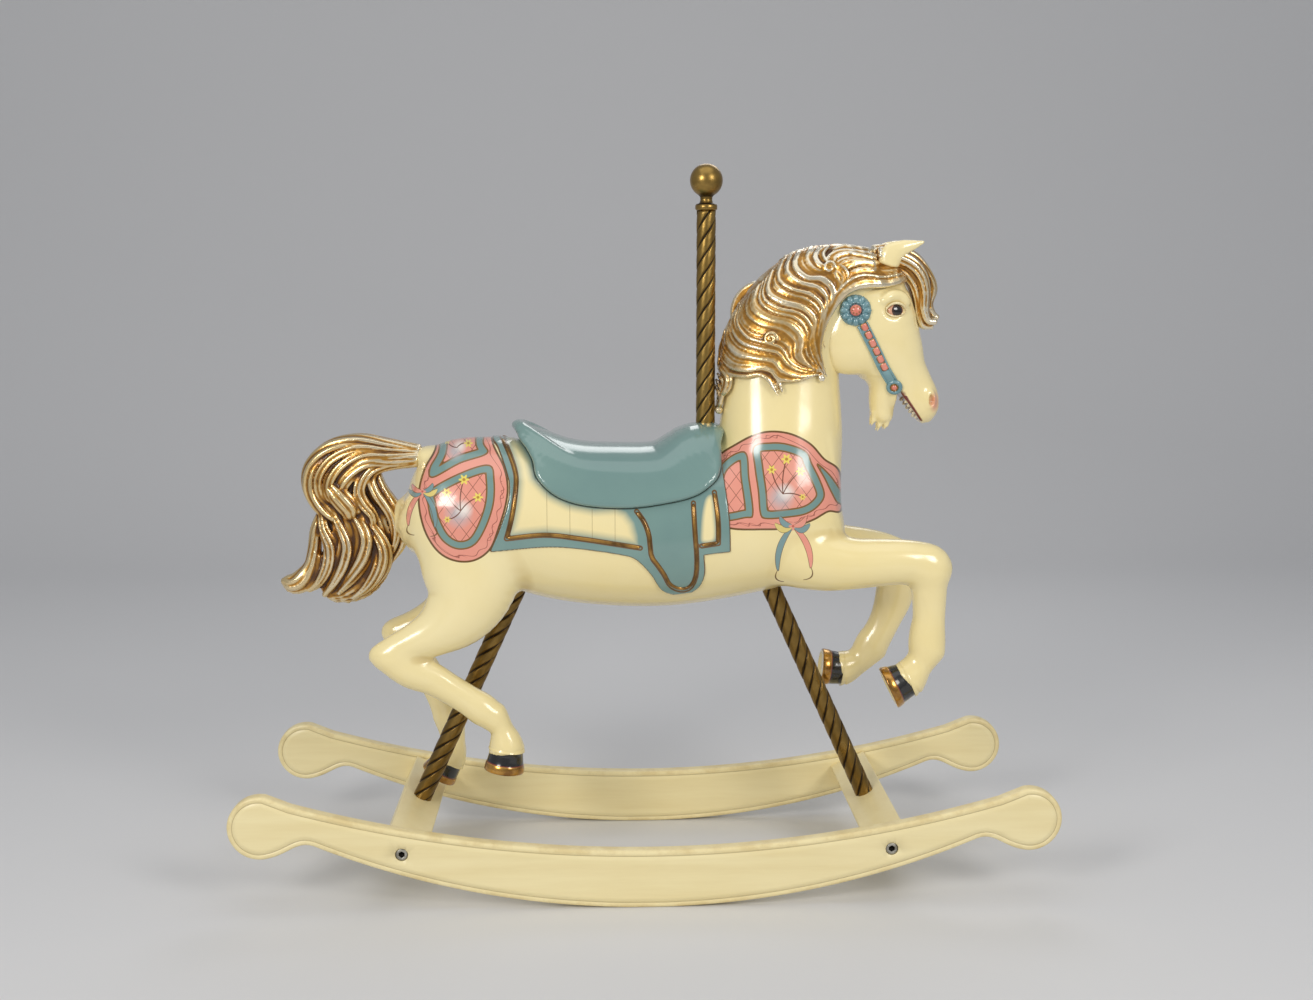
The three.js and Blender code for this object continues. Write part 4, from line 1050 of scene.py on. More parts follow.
def hair_gold(name, silver):
    """Gold leaf: brown glaze in the grooves with painted shade at their bottoms, paler on the ridges, with
    more or less silver and painted highlight over them.
    """
    p = Paint(name, Coat_Weight=0.5, Coat_Roughness=0.08)
    height = p.mark("relief")
    patchy = p.math("MULTIPLY", p.math("SUBTRACT", p.noise(22.0, 4.0), 0.5), 1.2)
    level = p.math("ADD", height, patchy)
    base = p.mix(p.ramp(level, -1.1, -0.1), colour("#5a360f"), colour("#bd8836"))
    # paler gold on the ridges, partly painted highlight
    base = p.mix(p.ramp(level, -0.1, 0.6), base, colour("#e3c27a"))
    # near white on the ridges: silver in patches, partly painted highlight
    ridge = p.ramp(level, 0.0, 0.7)
    silvered = p.ramp(p.noise(9.0, 2.0), 0.36, 0.56, 0.35 * silver, silver)
    ridge_silver_highlight = p.math("MULTIPLY", ridge, silvered)
    base = p.mix(ridge_silver_highlight, base, colour("#f3ebd6"))
    # painted shade at the bottoms of the deepest grooves
    base = p.mix(p.ramp(height, -0.8, -2.2), base, colour("#331c06"))
    rough = p.ramp(height, -1.0, 0.8, 0.45, 0.26)
    p.bump(p.noise(90.0, 3.0), 0.0005, 0.5)
    return p.finish(base, rough, p.ramp(height, -1.2, 0.0, 0.5, 0.92))


def aged_brass(name, dark, light):
    p = Paint(name, Coat_Weight=0.15, Coat_Roughness=0.2)
    groove = p.mark("groove")
    stain = p.noise(30.0, 5.0, 0.6)
    base = p.mix(p.ramp(stain, 0.35, 0.65), colour(dark), colour(light))
    base = p.mix(p.ramp(groove, 0.15, 0.8), base, colour("#1d1305"))
    base = p.mix(p.ramp(groove, 0.03, 0.0, 0.0, 0.25), base, colour("#c9a55c"))
    rough = p.math("ADD", p.ramp(stain, 0.3, 0.7, 0.42, 0.26), p.math("MULTIPLY", groove, 0.3))
    p.bump(p.noise(160.0, 3.0), 0.0003, 0.4)
    return p.finish(base, rough, p.ramp(groove, 0.4, 1.0, 1.0, 0.6))


def gold_paint(name):
    p = Paint(name, Coat_Weight=0.6, Coat_Roughness=0.1, Metallic=0.75)
    base = p.mix(p.ramp(p.noise(45.0, 3.0), 0.35, 0.65), colour("#6d4a17"), colour("#b98a3e"))
    p.bump(p.noise(80.0, 2.0), 0.0003, 0.4)
    return p.finish(base, p.ramp(p.noise(30.0), 0.3, 0.7, 0.38, 0.25))


def enamel(name, main, second):
    """Glossy paint that drifts a little between two colours."""
    p = Paint(name, Coat_Weight=0.9, Coat_Roughness=0.08)
    base = p.mix(p.ramp(p.noise(25.0, 3.0), 0.35, 0.65), colour(main), colour(second))
    p.bump(p.noise(70.0, 2.0), 0.0002, 0.4)
    return p.finish(base, p.ramp(p.noise(20.0), 0.3, 0.7, 0.2, 0.3))


def hoof_paint():
    """Cream coronet, black wall, red-brown line, gilded rim, cream sole, by the distance down the hoof."""
    p = Paint("hoof_paint", Coat_Weight=0.8, Coat_Roughness=0.08)
    down, metal = p.mark("down"), p.mark("gilt")
    base = p.mix(p.ramp(down, 0.4, 0.9), CREAM, colour("#0d0b08"))
    base = p.mix(p.band(down, 21.0, 0.7), base, colour("#7a2f1c"))
    gilt = p.mix(p.ramp(p.noise(50.0), 0.35, 0.65), colour("#8f6120"), colour("#d8a24a"))
    base = p.mix(p.ramp(down, GILT_FROM, 22.0), base, gilt)
    base = p.mix(p.ramp(down, 37.0, 37.6), base, CREAM)
    return p.finish(base, p.ramp(p.noise(20.0), 0.3, 0.7, 0.2, 0.3), metal)


def rocker_paint():
    """Satin cream paint over wood, with faint brush lines, rubbed, yellowed edges, and painted shade darkening
    the fine groove and the bolt wells.
    """
    p = Paint("rocker_satin_paint", Coat_Weight=0.35, Coat_Roughness=0.3)
    brush = p.noise(18.0, 4.0, 0.6, (0.25, 1.0, 3.0))
    base = p.mix(p.ramp(brush, 0.35, 0.7, 0.0, 0.6), ROCKER, colour("#e7d49b"))
    rub = p.math("MULTIPLY", p.mark("edge"), p.ramp(p.noise(25.0, 4.0, 0.7), 0.42, 0.62))
    base = p.mix(p.math("MULTIPLY", rub, 0.4), base, colour("#cdb06c"))
    # painted shade in the fine groove round each face and down in the bolt wells
    base = p.mix(p.ramp(p.mark("groove"), 0.2, 0.9, 0.0, 0.45), base, colour("#8d7a48"))
    p.bump(brush, 0.0004, 0.4)
    return p.finish(base, p.ramp(brush, 0.3, 0.7, 0.36, 0.5))


def bolt_steel():
    p = Paint("bolt_steel_brushed", Metallic=1.0)
    base = p.mix(p.ramp(p.noise(80.0, 3.0), 0.35, 0.65), colour("#8f8b80"), colour("#c6c3b8"))
    # painted shade inside the hex socket
    base = p.mix(p.ramp(p.mark("groove"), 0.2, 0.9), base, colour("#1c1a17"))
    return p.finish(base, p.ramp(p.noise(60.0), 0.3, 0.7, 0.28, 0.42))


def plain(name, main, roughness):
    return Paint(name).finish(colour(main), roughness)


# ------------------------------------------------------------------ the horse's body


def body_grid():
    grid = Grid((-448, -130, 112), (496, 130, 1004), BODY_STEP)
    add_sweep(grid, TORSO, spacing=12, square=2.15, cap=0.15)
    add_sweep(grid, NECK, fillet=34, spacing=8, square=2.1)
    for upper, cannon, hoof, fillet in LEGS:
        limb = grid.twin()
        add_sweep(limb, upper, spacing=9, cap=0.8)
        add_sweep(limb, cannon, fillet=13, spacing=8, cap=0.8)
        add_sweep(limb, hoof[:FLARE_ROW + 1], fillet=8, spacing=5, cap=0.25)
        grid.field = join(grid.field, limb.field, fillet)
    add_sweep(grid, RUMP_KNOB, fillet=18, spacing=8)
    add_blob(grid, TAIL_COLLAR[0], TAIL_COLLAR[1], 10)
    return grid


def drawing_marks(points):
    """Numbers at the corners that the painted decoration is drawn from."""
    x, z = to_drawing(*points.T)
    panels = [outline_distance(x, z, curve(p, 6 * len(p), closed=True)) for p in
              (RUMP_LOW_PANEL, RUMP_TOP_PANEL, *CHEST_PANELS)]
    return {
        "draw_x": x,
        "draw_z": z,
        "rump_band": outline_distance(x, z, curve(RUMP_BAND, 6 * len(RUMP_BAND), closed=True)),
        "chest_band": outline_distance(x, z, curve(CHEST_BAND, 6 * len(CHEST_BAND), closed=True)),
        "panel": np.min(panels, 0),
    }


# How deep each corner lies in a hollow: the mask for the painted shade there.
def hollow_shade(points, faces, rounds=24, scale=1.6):
    return np.clip(-height_over_mean(points, faces, rounds) / scale, 0, 1)


def horse_body(grid, paint):
    points, faces = surface(grid, 16)
    marks = drawing_marks(points)
    marks["hollow_shade"] = hollow_shade(points, faces)
    return make_piece("horse_body", points, faces, paint, marks)


# ------------------------------------------------------------------ head


def head_grid():
    grid = Grid((262, -68, 708), (484, 68, 1034), HEAD_STEP)
    add_sweep(grid, HEAD, spacing=7, square=2.25)
    add_sweep(grid, JAW, fillet=12, spacing=5)
    add_blob(grid, POLL[0], POLL[1], 12)
    for side in (NEAR_SIDE, FAR_SIDE):
        cheek = cast(grid, [(333, 862)], side)[0]
        add_blob(grid, cheek * (1, 0.55, 1), (50, 26, 54), 14)
        brow = even(cast(grid, [(384, 926), (396, 934), (411, 934), (421, 924)], side), 4)
        add_strand(grid, brow, np.full(len(brow), 3.8), 9)
        socket = cast(grid, [(403, 911)], side)[0]
        cut_blob(grid, socket + (0, 5.0 * side, 0), (16, 9, 12), 6)
        nostril = cast(grid, [(462, 768)], side)[0]
        add_blob(grid, nostril * (1, 0.85, 1), (9, 8, 15), 7)
        cut_blob(grid, nostril + (3, 2.0 * side, -1), (4.5, 8, 10), 2.5)
        for x, z, length in CHIN_TUFTS:
            tuft = np.array([(x, 9.0 * side, z), (x - 1, 8.5 * side, z - 0.55 * length),
                             (x - 5, 8.0 * side, z - length)])
            add_strand(grid, tuft, (5.2, 3.2, 0.9), 3.5)
        add_ear(grid, side)
    cut_sweep(grid, MOUTH, 4, spacing=6)
    return grid


def add_ear(grid, side):
    rows = [(x, -side * y, z, a, b) for x, y, z, a, b in EAR]
    add_sweep(grid, rows, fillet=5, spacing=4)
    hollow = [(x + 4, -side * y - 4.0 * side, z - 4, 0.5 * a, 0.75 * b) for x, y, z, a, b in EAR[1:4]]
    cut_sweep(grid, hollow, 2, spacing=3)


def head(grid, paint):
    points, faces = surface(grid, 6)
    x, y, z = points.T
    ear_pink = np.exp(-(((x - 402) / 12) ** 2 + ((z - 1001) / 7) ** 2))
    nose_pink = np.exp(-(((x - 465) / 8) ** 2 + ((z - 766) / 14) ** 2)) * (np.abs(y) > 8)
    corner_of_mouth = np.exp(-(((x - 410) / 8) ** 2 + ((z - 777) / 8) ** 2))
    lip_line = np.exp(-((x - 413 - 0.71 * (780 - z)) / 3) ** 2) * (z < 776)
    marks = {
        "hollow_shade": hollow_shade(points, faces, 40, 2.2),
        "blush": np.clip(ear_pink * (z > 990) * (np.abs(y) < 25) + 1.3 * nose_pink, 0, 1),
        "mouth": np.clip(corner_of_mouth + lip_line, 0, 1) * (x > 403) * (z > 735),
    }
    return make_piece("horse_head", points, faces, paint, marks)


def head_paint():
    p = Paint("horse_head_lacquer", Coat_Weight=0.9, Coat_Roughness=0.06)
    base = lacquer_cream(p)
    base = p.mix(p.ramp(p.mark("blush"), 0.15, 0.9, 0.0, 0.85), base, colour("#e79c80"))
    base = p.mix(p.ramp(p.mark("mouth"), 0.3, 0.8), base, colour("#6d2018"))
    return p.finish(base, lacquer_gloss(p))


def eyes(grid, paint, lid_paint):
    ball, lids = Shell(), Shell()
    at = cast(grid, [(403, 911)])[0] + (0, -0.5, 0)
    angle = np.linspace(-np.pi / 2, np.pi / 2, 17)
    profile = [(max(10.0 * np.cos(a), 0.01), 5.5 * np.sin(a)) for a in angle]
    points, faces = lathe(profile, 32)
    ring = np.hypot(points[:, 0] * EYE_WIDE - 1.5, points[:, 1])
    points[:, 0] *= EYE_WIDE
    normal = np.array([0.25, -1.0, 0.05])
    ball.add_both_sides(placed(points, at, normal), faces, ring=ring)
    for reach, lift, thick in ((11.5, 2.2, 2.3), (-9.5, 1.4, 1.7)):
        t = np.linspace(0, np.pi, 21)
        edge = np.stack([-17.0 * np.cos(t), reach * np.sin(t) ** 1.2, lift + 2.0 * np.sin(t)], 1)
        line = placed(edge, at, normal)
        taper = thick * (0.35 + 0.65 * np.sin(t))
        lids.add_both_sides(*bead(line, np.tile(unit(normal), (len(line), 1)), taper, taper))
    return [ball.piece("eyes", paint, "horse_lacquer"), lids.piece("eyelids", lid_paint, "horse_lacquer")]


def eye_paint():
    p = Paint("eye_enamel", Coat_Weight=1.0, Coat_Roughness=0.03)
    ring = p.mark("ring")
    base = p.mix(p.ramp(ring, 6.0, 7.0), colour("#0d0806"), colour("#3a2010"))
    base = p.mix(p.ramp(ring, 9.2, 9.8), base, colour("#dba583"))
    return p.finish(base, p.ramp(p.noise(40.0), 0.3, 0.7, 0.1, 0.18))


def teeth(paint):
    shell = Shell()
    for side in (NEAR_SIDE, FAR_SIDE):
        for i in range(5):
            at = np.array([420 + 4.6 * i, side * (22 - 2.2 * i), 767 - 6.4 * i])
            line = at + np.outer(np.linspace(-4, 4, 5), (-0.75, 0.0, -0.5))
            round_end = 2.9 * np.sqrt(np.clip(1 - np.linspace(-0.97, 0.97, 5) ** 4, 0, 1))
            shell.add(*bead(line, np.tile([0.0, float(side), 0.0], (5, 1)), round_end, round_end * 0.8))
    return shell.piece("teeth", paint, "horse_lacquer")


# ------------------------------------------------------------------ bridle: rosette, cheek strap and ring


def oval_ball(radii, sides=14, rings=8):
    angle = np.linspace(-np.pi / 2 * 0.98, np.pi / 2 * 0.98, rings)
    points, faces = lathe([(np.cos(a), np.sin(a)) for a in angle], sides)
    return points * np.asarray(radii), faces


def rosette(grid, cloth, jewels, trim):
    """A disc with twelve petals and spokes round a dome, and a ring of seeds on it."""
    centre = cast(grid, [(339, 911)])[0]
    normal = np.array([0.0, -1.0, 0.0]) * 0.6 + grid.normals(centre[None], 12)[0] * 0.4
    disc, disc_faces = lathe([(0.01, -6), (24, -6), (25, 0), (22, 3.0), (0.01, 3.5)], 48)
    cloth.add_both_sides(placed(disc, centre, normal), disc_faces)
    for i in range(12):
        turn = 2 * np.pi * i / 12
        points, faces = oval_ball((7.6, 5.4, 4.6))
        points = points + (17.5, 0, 3.2)
        cloth.add_both_sides(placed(turned(points, turn), centre, normal), faces)
        points, faces = oval_ball((2.6, 2.2, 2.4), 10, 6)
        spoke = points + (12.4 * np.cos(turn + 0.26), 12.4 * np.sin(turn + 0.26), 5.2)
        cloth.add_both_sides(placed(spoke, centre, normal), faces)
    dome, dome_faces = oval_ball((9.0, 9.0, 5.0), 28, 12)
    jewels.add_both_sides(placed(dome + (0, 0, 5.5), centre, normal), dome_faces)
    for i in range(7):
        turn = 2 * np.pi * i / 7 + 0.4
        point, faces = oval_ball((1.5, 1.1, 1.3), 8, 5)
        place = point + (5.6 * np.cos(turn), 5.6 * np.sin(turn), 9.4)
        trim.add_both_sides(placed(place, centre, normal), faces)


def cheek_strap(grid, cloth, jewels, trim):
    """A band with raised edges and six gilt-rimmed links along it."""
    route = cast(grid, even([(350, 889), (362, 866), (375, 841), (387, 818), (400, 797)], 4.0, 2))
    normals = grid.normals(route, 6)
    cloth.add_both_sides(*bead(route, normals, 9.0, 3.2, 12))
    for side in (-1, 1):
        tangent = unit(np.gradient(route, axis=0))
        edge = route + np.cross(normals, tangent) * 7.6 * side + normals * 2.2
        cloth.add_both_sides(*bead(edge, normals, 1.6, 1.6, 8))
    links = cast(grid, even([(354, 884), (400, 797)], 14.6, 2))
    along = unit(links[-1] - links[0])
    for at in links[:6]:
        out = grid.normals(at[None], 6)[0]
        here = at + out * 3.0
        line = here + np.outer(np.linspace(-6.2, 6.2, 9), along)
        swell = np.sqrt(np.clip(1 - np.linspace(-0.96, 0.96, 9) ** 6, 0, 1))
        jewels.add_both_sides(*bead(line, np.tile(out, (9, 1)), 4.9 * swell, 2.4 * swell, 10))
        rim = here + out * 0.5 + np.outer(np.linspace(-7.2, 7.2, 13), along)
        swell = np.sqrt(np.clip(1 - np.linspace(-0.97, 0.97, 13) ** 6, 0, 1))
        trim.add_both_sides(*bead(rim - out * 1.1, np.tile(out, (13, 1)), 6.2 * swell, 2.0 * swell, 10))


def cheek_ring(grid, cloth, jewels, trim):
    """A ring with a gilt inner rim round a stone, at the corner of the mouth."""
    eye = cast(grid, [(404, 789)])[0]
    out = grid.normals(eye[None], 6)[0]
    turn = np.linspace(0, 2 * np.pi, 40, endpoint=False)
    for radius, thick, lift, shell in ((9.6, 3.6, 2.0, cloth), (5.4, 1.2, 4.0, trim)):
        loop = placed(np.stack([radius * np.cos(turn), radius * np.sin(turn), np.full(40, lift)], 1), eye, out)
        shell.add_both_sides(*bead(loop, np.tile(out, (40, 1)), thick, thick, 10, closed=True))
    base, base_faces = lathe([(0.01, -4), (9, -4), (9, 2.6), (0.01, 3)], 32)
    cloth.add_both_sides(placed(base, eye, out), base_faces)
    stone, stone_faces = oval_ball((5.0, 5.0, 3.4), 20, 10)
    jewels.add_both_sides(placed(stone + (0, 0, 3.2), eye, out), stone_faces)


def bridle(grid, blue, pink, gilt):
    cloth, jewels, trim = Shell(), Shell(), Shell()
    for part in (rosette, cheek_strap, cheek_ring):
        part(grid, cloth, jewels, trim)
    return [
        cloth.piece("bridle", blue, "horse_lacquer"),
        jewels.piece("bridle_links", pink, "horse_lacquer"),
        trim.piece("bridle_trim", gilt, "horse_lacquer"),
    ]


# ------------------------------------------------------------------ hair


def between(guides, extra):
    """The guides and `extra` lines between each pair, all cut to the same number of points."""
    lines = [even(np.array(g, float), 1.0, 2) for g in guides]
    lines = [line[np.linspace(0, len(line) - 1, 25).astype(int)] for line in lines]
    made = []
    for a, b in zip(lines[:-1], lines[1:]):
        for k in range(extra + 1):
            share = k / (extra + 1)
            made.append(a + (b - a) * share)
    return made + [lines[-1]]


def hair_taper(count, root=0.6, tip=0.25):
    s = np.linspace(0, 1, count)
    return np.minimum(np.minimum(root + 3 * s, 1), tip + 3.2 * (1 - s))


def hair_piece(name, grid, paint, rounds):
    """A piece marked with how far each corner stands on a ridge or lies in a groove."""
    points, faces = surface(grid, 1)
    relief = height_over_mean(points, faces, rounds)
    return make_piece(name, points, faces, paint, {"relief": relief})


def mane_grid():
    """(the mane's own skin inside its outline, the thick form of neck and head that strands are laid on)."""
    grid = Grid((96, -92, 738), (442, 92, 1038), HAIR_STEP)
    thick = grid.twin()
    add_sweep(thick, NECK, spacing=14, square=2.1, grow=6.5)
    add_sweep(thick, HEAD[:4], spacing=8, square=2.25, grow=5.0, fillet=20)
    add_blob(thick, POLL[0], np.add(POLL[1], 5), 12)
    x, y, z = thick.axes(thick.whole())
    near = np.abs(thick.field) < 20
    places = np.stack(np.broadcast_arrays(x, y, z), -1)[near].astype(float)
    drawn = outline_distance(*to_drawing(*places.T), curve(MANE_LINE, 5 * len(MANE_LINE), closed=True))
    edge = np.full(grid.count, FAR, np.float32)
    edge[near] = drawn
    grid.field = np.where(near, -join(-thick.field, -(edge + 3), 8), np.maximum(thick.field, 0.5))
    grid.field[thick.field <= -20] = 20.0
    return grid, thick


def spiral(x, z, radius):
    """A line of the side drawing that winds in to a point."""
    turn = np.linspace(0, 3.4 * np.pi, 40)
    shrink = radius * (1 - turn / (3.9 * np.pi))
    return np.stack([x + shrink * np.cos(turn), z + shrink * np.sin(turn)], 1)


def lay_mane(grid, thick):
    random = np.random.default_rng(7)
    strands = between(BACK_GUIDES, 2) + between(HEM_GUIDES, 1)
    strands += between(MANE_GUIDES, 4) + between(BROW_GUIDES, 3)
    for side in (NEAR_SIDE, FAR_SIDE):
        for line in strands:
            size = random.uniform(2.5, 3.8)
            lift = random.uniform(-0.4, 3.2)
            swing, phase = random.uniform(-1.2, 1.2), random.uniform(0, 6)
            sway = swing * np.sin(np.linspace(0, 2 * np.pi, len(line)) + phase)
            bent = line + np.stack([sway, 0.6 * sway], 1)
            laid = cast(thick, bent, side, rise=lift)
            laid = laid[thick.sample(*laid.T) < 6]
            if len(laid) > 5:
                add_strand(grid, laid, size * hair_taper(len(laid)), 0.3)
        for x, z, radius in CURLS:
            laid = cast(thick, spiral(x, z, radius), side, rise=4.0)
            add_strand(grid, laid, np.linspace(2.6, 2.0, len(laid)), 0.3)
    for x, z, radius in KNOBS:
        for side in (NEAR_SIDE, FAR_SIDE):
            add_blob(grid, cast(thick, [(x, z)], side, rise=1.0)[0], (radius, 0.8 * radius, radius), 2.0)
    for k in (-1, 0, 1, 2, 3):
        lock = even([(x + 3.4 * k, y - 2.4 * k, z - 3.4 * k) for x, y, z in FAR_CREST_LOCK], 5)
        add_strand(grid, lock, 4.6 * hair_taper(len(lock), 0.8, 0.4), 0.8)


def mane(paint):
    grid, thick = mane_grid()
    lay_mane(grid, thick)
    return hair_piece("mane", grid, paint, 12)


def forelock(paint):
    grid = Grid((345, -46, 868), (486, 46, 1024), HAIR_STEP)
    for i, line in enumerate(FORELOCKS):
        for side in (NEAR_SIDE, FAR_SIDE):
            rows = []
            for j, (x, z) in enumerate(line):
                taper = min(1, 1.25 - j / len(line))
                rows.append((x, side * (16 - 8 * i), z, 12.5 * taper, 17 * taper))
            add_sweep(grid, rows, spacing=6, flutes=9, depth_of=0.09, twist=0.03, margin=8)
    return hair_piece("forelock", grid, paint, 12)


def tail(paint):
    grid = Grid((-592, -44, 438), (-352, 44, 724), HAIR_STEP)
    add_sweep(grid, TAIL_CORE, spacing=10, flutes=22, depth_of=0.06, margin=8)
    for k, (size, thick, off, line) in enumerate(TAIL_LOCKS):
        for side in (NEAR_SIDE, FAR_SIDE):
            rows = []
            for i, (x, z) in enumerate(line):
                s = i / (len(line) - 1)
                taper = min(1, 0.55 + 1.5 * s, 0.3 + 2.2 * (1 - s))
                rows.append((x, side * off, z, size * taper, thick * taper))
            twist = 0.05 * side * (1 - k % 3)
            add_sweep(grid, rows, spacing=6, flutes=7 + k % 3, depth_of=0.1, twist=twist, margin=8)
    add_sweep(grid, TAIL_TIP, spacing=5, fillet=6, flutes=8, depth_of=0.09, twist=0.06, margin=10)
    return hair_piece("tail", grid, paint, 16)


# ------------------------------------------------------------------ saddle and its cloth


def saddle(paint):
    grid = Grid((-222, -132, 578), (136, 132, 742), SADDLE_STEP)
    skirt = grid.twin()
    add_sweep(skirt, TORSO, spacing=16, square=2.15, grow=9)
    x, y, z = skirt.axes(skirt.whole())
    places = np.broadcast_arrays(x, y, z)
    drawn = outline_distance(*to_drawing(*(a.astype(float) for a in places)),
                             curve(SKIRT_LINE, 5 * len(SKIRT_LINE), closed=True))
    add_sweep(skirt, SEAT, fillet=46, spacing=9, square=2.5)
    for side in (NEAR_SIDE, FAR_SIDE):
        rim = even([(x, side * y, z) for x, y, z in CANTLE_RIM], 5)
        add_strand(skirt, rim, np.linspace(3.0, 5.5, len(rim)), 12)
    grid.field = -join(-skirt.field, -(drawn + 1.0).astype(np.float32), 7)
    points, faces = surface(grid, 5)
    marks = {"hollow_shade": hollow_shade(points, faces, 30, 2.0)}
    return make_piece("saddle", points, faces, paint, marks)


def cloth_outline():
    rear = curve(CLOTH_REAR, 40)
    hem = curve(CLOTH_HEM, 60)
    edge = curve(CLOTH_EDGE, 30)
    return np.vstack([rear, hem, [CLOTH_FRONT[1]], edge])


def ray_radius(grid, x, turn, centre):
    """Distance from the barrel's middle line out to the body's surface, along a ray across it."""
    radius = np.full(np.broadcast(x, turn).shape, 150.0)
    for _ in range(40):
        level = grid.sample(x, radius * np.sin(turn), centre + radius * np.cos(turn))
        radius = radius - np.clip(level, -6, 6) * 0.8
    return radius


def saddle_cloth(grid, paint):
    stations = np.array(TORSO, float)
    xs = np.arange(-262, 152, 2.2)[:, None]
    lowest, highest = math.radians(136), math.radians(2)
    arc = np.linspace(highest, lowest, 150)
    under = np.linspace(lowest, 2 * np.pi - lowest, 14)[1:-1]
    turn = np.concatenate([arc, under, (2 * np.pi - arc)[::-1]])[None]
    centre = np.interp(xs, stations[:, 0], stations[:, 2])
    radius = ray_radius(grid, xs, turn, centre)
    x = np.broadcast_to(xs, radius.shape)
    y, z = radius * np.sin(turn), centre + radius * np.cos(turn)
    dx, dz = to_drawing(x, y, z)
    edge = outline_distance(dx, dz, cloth_outline())
    rise = -CLOTH_SUNK + (CLOTH_SUNK + CLOTH_RISE) * smooth_step(1.6, -1.8, edge)
    y, z = (radius + rise) * np.sin(turn), centre + (radius + rise) * np.cos(turn)
    points = np.stack([x, y, z], -1)
    sides = points.shape[1]
    faces = ring_faces(len(points), sides)
    points = points.reshape(-1, 3)
    marks = {
        "draw_x": dx.ravel(),
        "cloth": edge.ravel(),
        "quilt": outline_distance(dx, dz, QUILT_LINE).ravel(),
        "front_panel": outline_distance(dx, dz, curve(FRONT_PANEL, 40, closed=True)).ravel(),
        "skirt": outline_distance(dx, dz, curve(SKIRT_LINE, 60, closed=True)).ravel(),
        "pipe": np.min([line_distance(dx, dz, curve(line, 30)) for line in PIPING], 0).ravel(),
        "hollow_shade": np.zeros(len(points)),
    }
    return make_piece("saddle_cloth", points, faces, paint, marks)


def piping(grid, paint):
    shell = Shell()
    for line in PIPING:
        route = cast(grid, even(line, 3.0, 2), rise=CLOTH_RISE)
        ends = np.ones(len(route))
        ends[[0, -1]] = 0.35
        ends[[1, -2]] = 0.8
        shell.add_both_sides(*bead(route, grid.normals(route), 2.8 * ends, 2.3 * ends, 10))
    return shell.piece("piping", paint, "aged_brass")


# ------------------------------------------------------------------ hooves


def hoof(name, rows, paint):
    """From under the coronet's lip to the ground face, by sections across the hoof's own axis."""
    lip, heel = np.array(rows[FLARE_ROW], float), np.array(rows[-1], float)
    axis = heel[:3] - lip[:3]
    length = np.linalg.norm(axis)
    axis = axis / length
    depth = unit(np.array([-axis[2], 0, axis[0]]))
    width = np.cross(axis, depth)
    profile = [(-9, 0.5), (-9, 0.86), (-3, 0.98), (0, 1.0), (0.3, 1.01), (0.5, 0.93), (1.5, 0.9), (8, 0.93),
               (14, 0.96), (20.6, 0.985), (21.4, 1.0), (23, 1.03), (26, 1.05), (length - 3, 1.08),
               (length - 0.8, 1.06),
               (length, 1.0), (length, 0.86), (length - 2.5, 0.8), (length - 3, 0.3), (length - 3, 0.01)]
    shell = Shell()
    sides = 56
    angle = 2 * np.pi * np.arange(sides) / sides
    rings, down, gilt = [], [], []
    for k, (t, scale) in enumerate(profile):
        share = min(max(t / length, 0), 1)
        half = lip[3:5] + (heel[3:5] / 1.06 - lip[3:5]) * share
        centre = lip[:3] + axis * t
        section = np.outer(half[0] * np.cos(angle), depth) + np.outer(half[1] * np.sin(angle), width)
        rings.append(centre + scale * section)
        sole = k >= len(profile) - 4
        down.append(np.full(sides, SOLE_DOWN if sole else min(t, WALL_DOWN)))
        gilt.append(np.full(sides, 0.0 if sole else float(t > GILT_FROM)))
    marks = {"down": np.concatenate(down), "gilt": np.concatenate(gilt)}
    shell.add(np.vstack(rings), ring_faces(len(rings), sides), **marks)
    return shell.piece(name, paint, "horse_lacquer")


# ------------------------------------------------------------------ brass tubes and the finial


def twisted_tube(length):
    """Corners, faces and groove depths of a tube with four winding grooves; its corners follow the grooves."""
    angle = 2 * np.pi * np.arange(TUBE_SIDES) / TUBE_SIDES
    place = np.abs((angle * TUBE_STARTS / (2 * np.pi) + 0.5) % 1 - 0.5) * 2 * np.pi / TUBE_STARTS * TUBE_R
    dip = np.exp(-((place / 1.7) ** 2))
    swell = 0.7 * np.clip(place / (np.pi * TUBE_R / TUBE_STARTS), 0, 1) ** 0.5
    radius = TUBE_R - 0.7 + swell - 2.2 * dip
    rings = []
    for z in np.linspace(0, length, int(length / TUBE_ROW) + 1):
        turn = angle + 2 * np.pi * z / TUBE_LEAD
        rings.append(np.stack([radius * np.cos(turn), radius * np.sin(turn), np.full(TUBE_SIDES, z)], 1))
    return np.vstack(rings), ring_faces(len(rings), TUBE_SIDES), np.tile(dip, len(rings))


def pole(paint):
    points, faces, groove = twisted_tube(POLE_TOP - POLE_FOOT)
    shell = Shell()
    shell.add(points + (POLE_X, 0, POLE_FOOT), faces, groove=groove)
    return shell.piece("twisted_pole", paint, "aged_brass")


def post(name, side, paint):
    points, faces, groove = twisted_tube(POST_LENGTH)
    x, z = leaned(points[:, 0], points[:, 2], -side * POST_LEAN)
    shell = Shell()
    shell.add(np.stack([x, points[:, 1], z], 1) + (side * POST_X, 0, POST_Z), faces, groove=groove)
    return shell.piece(name, paint, "aged_brass")


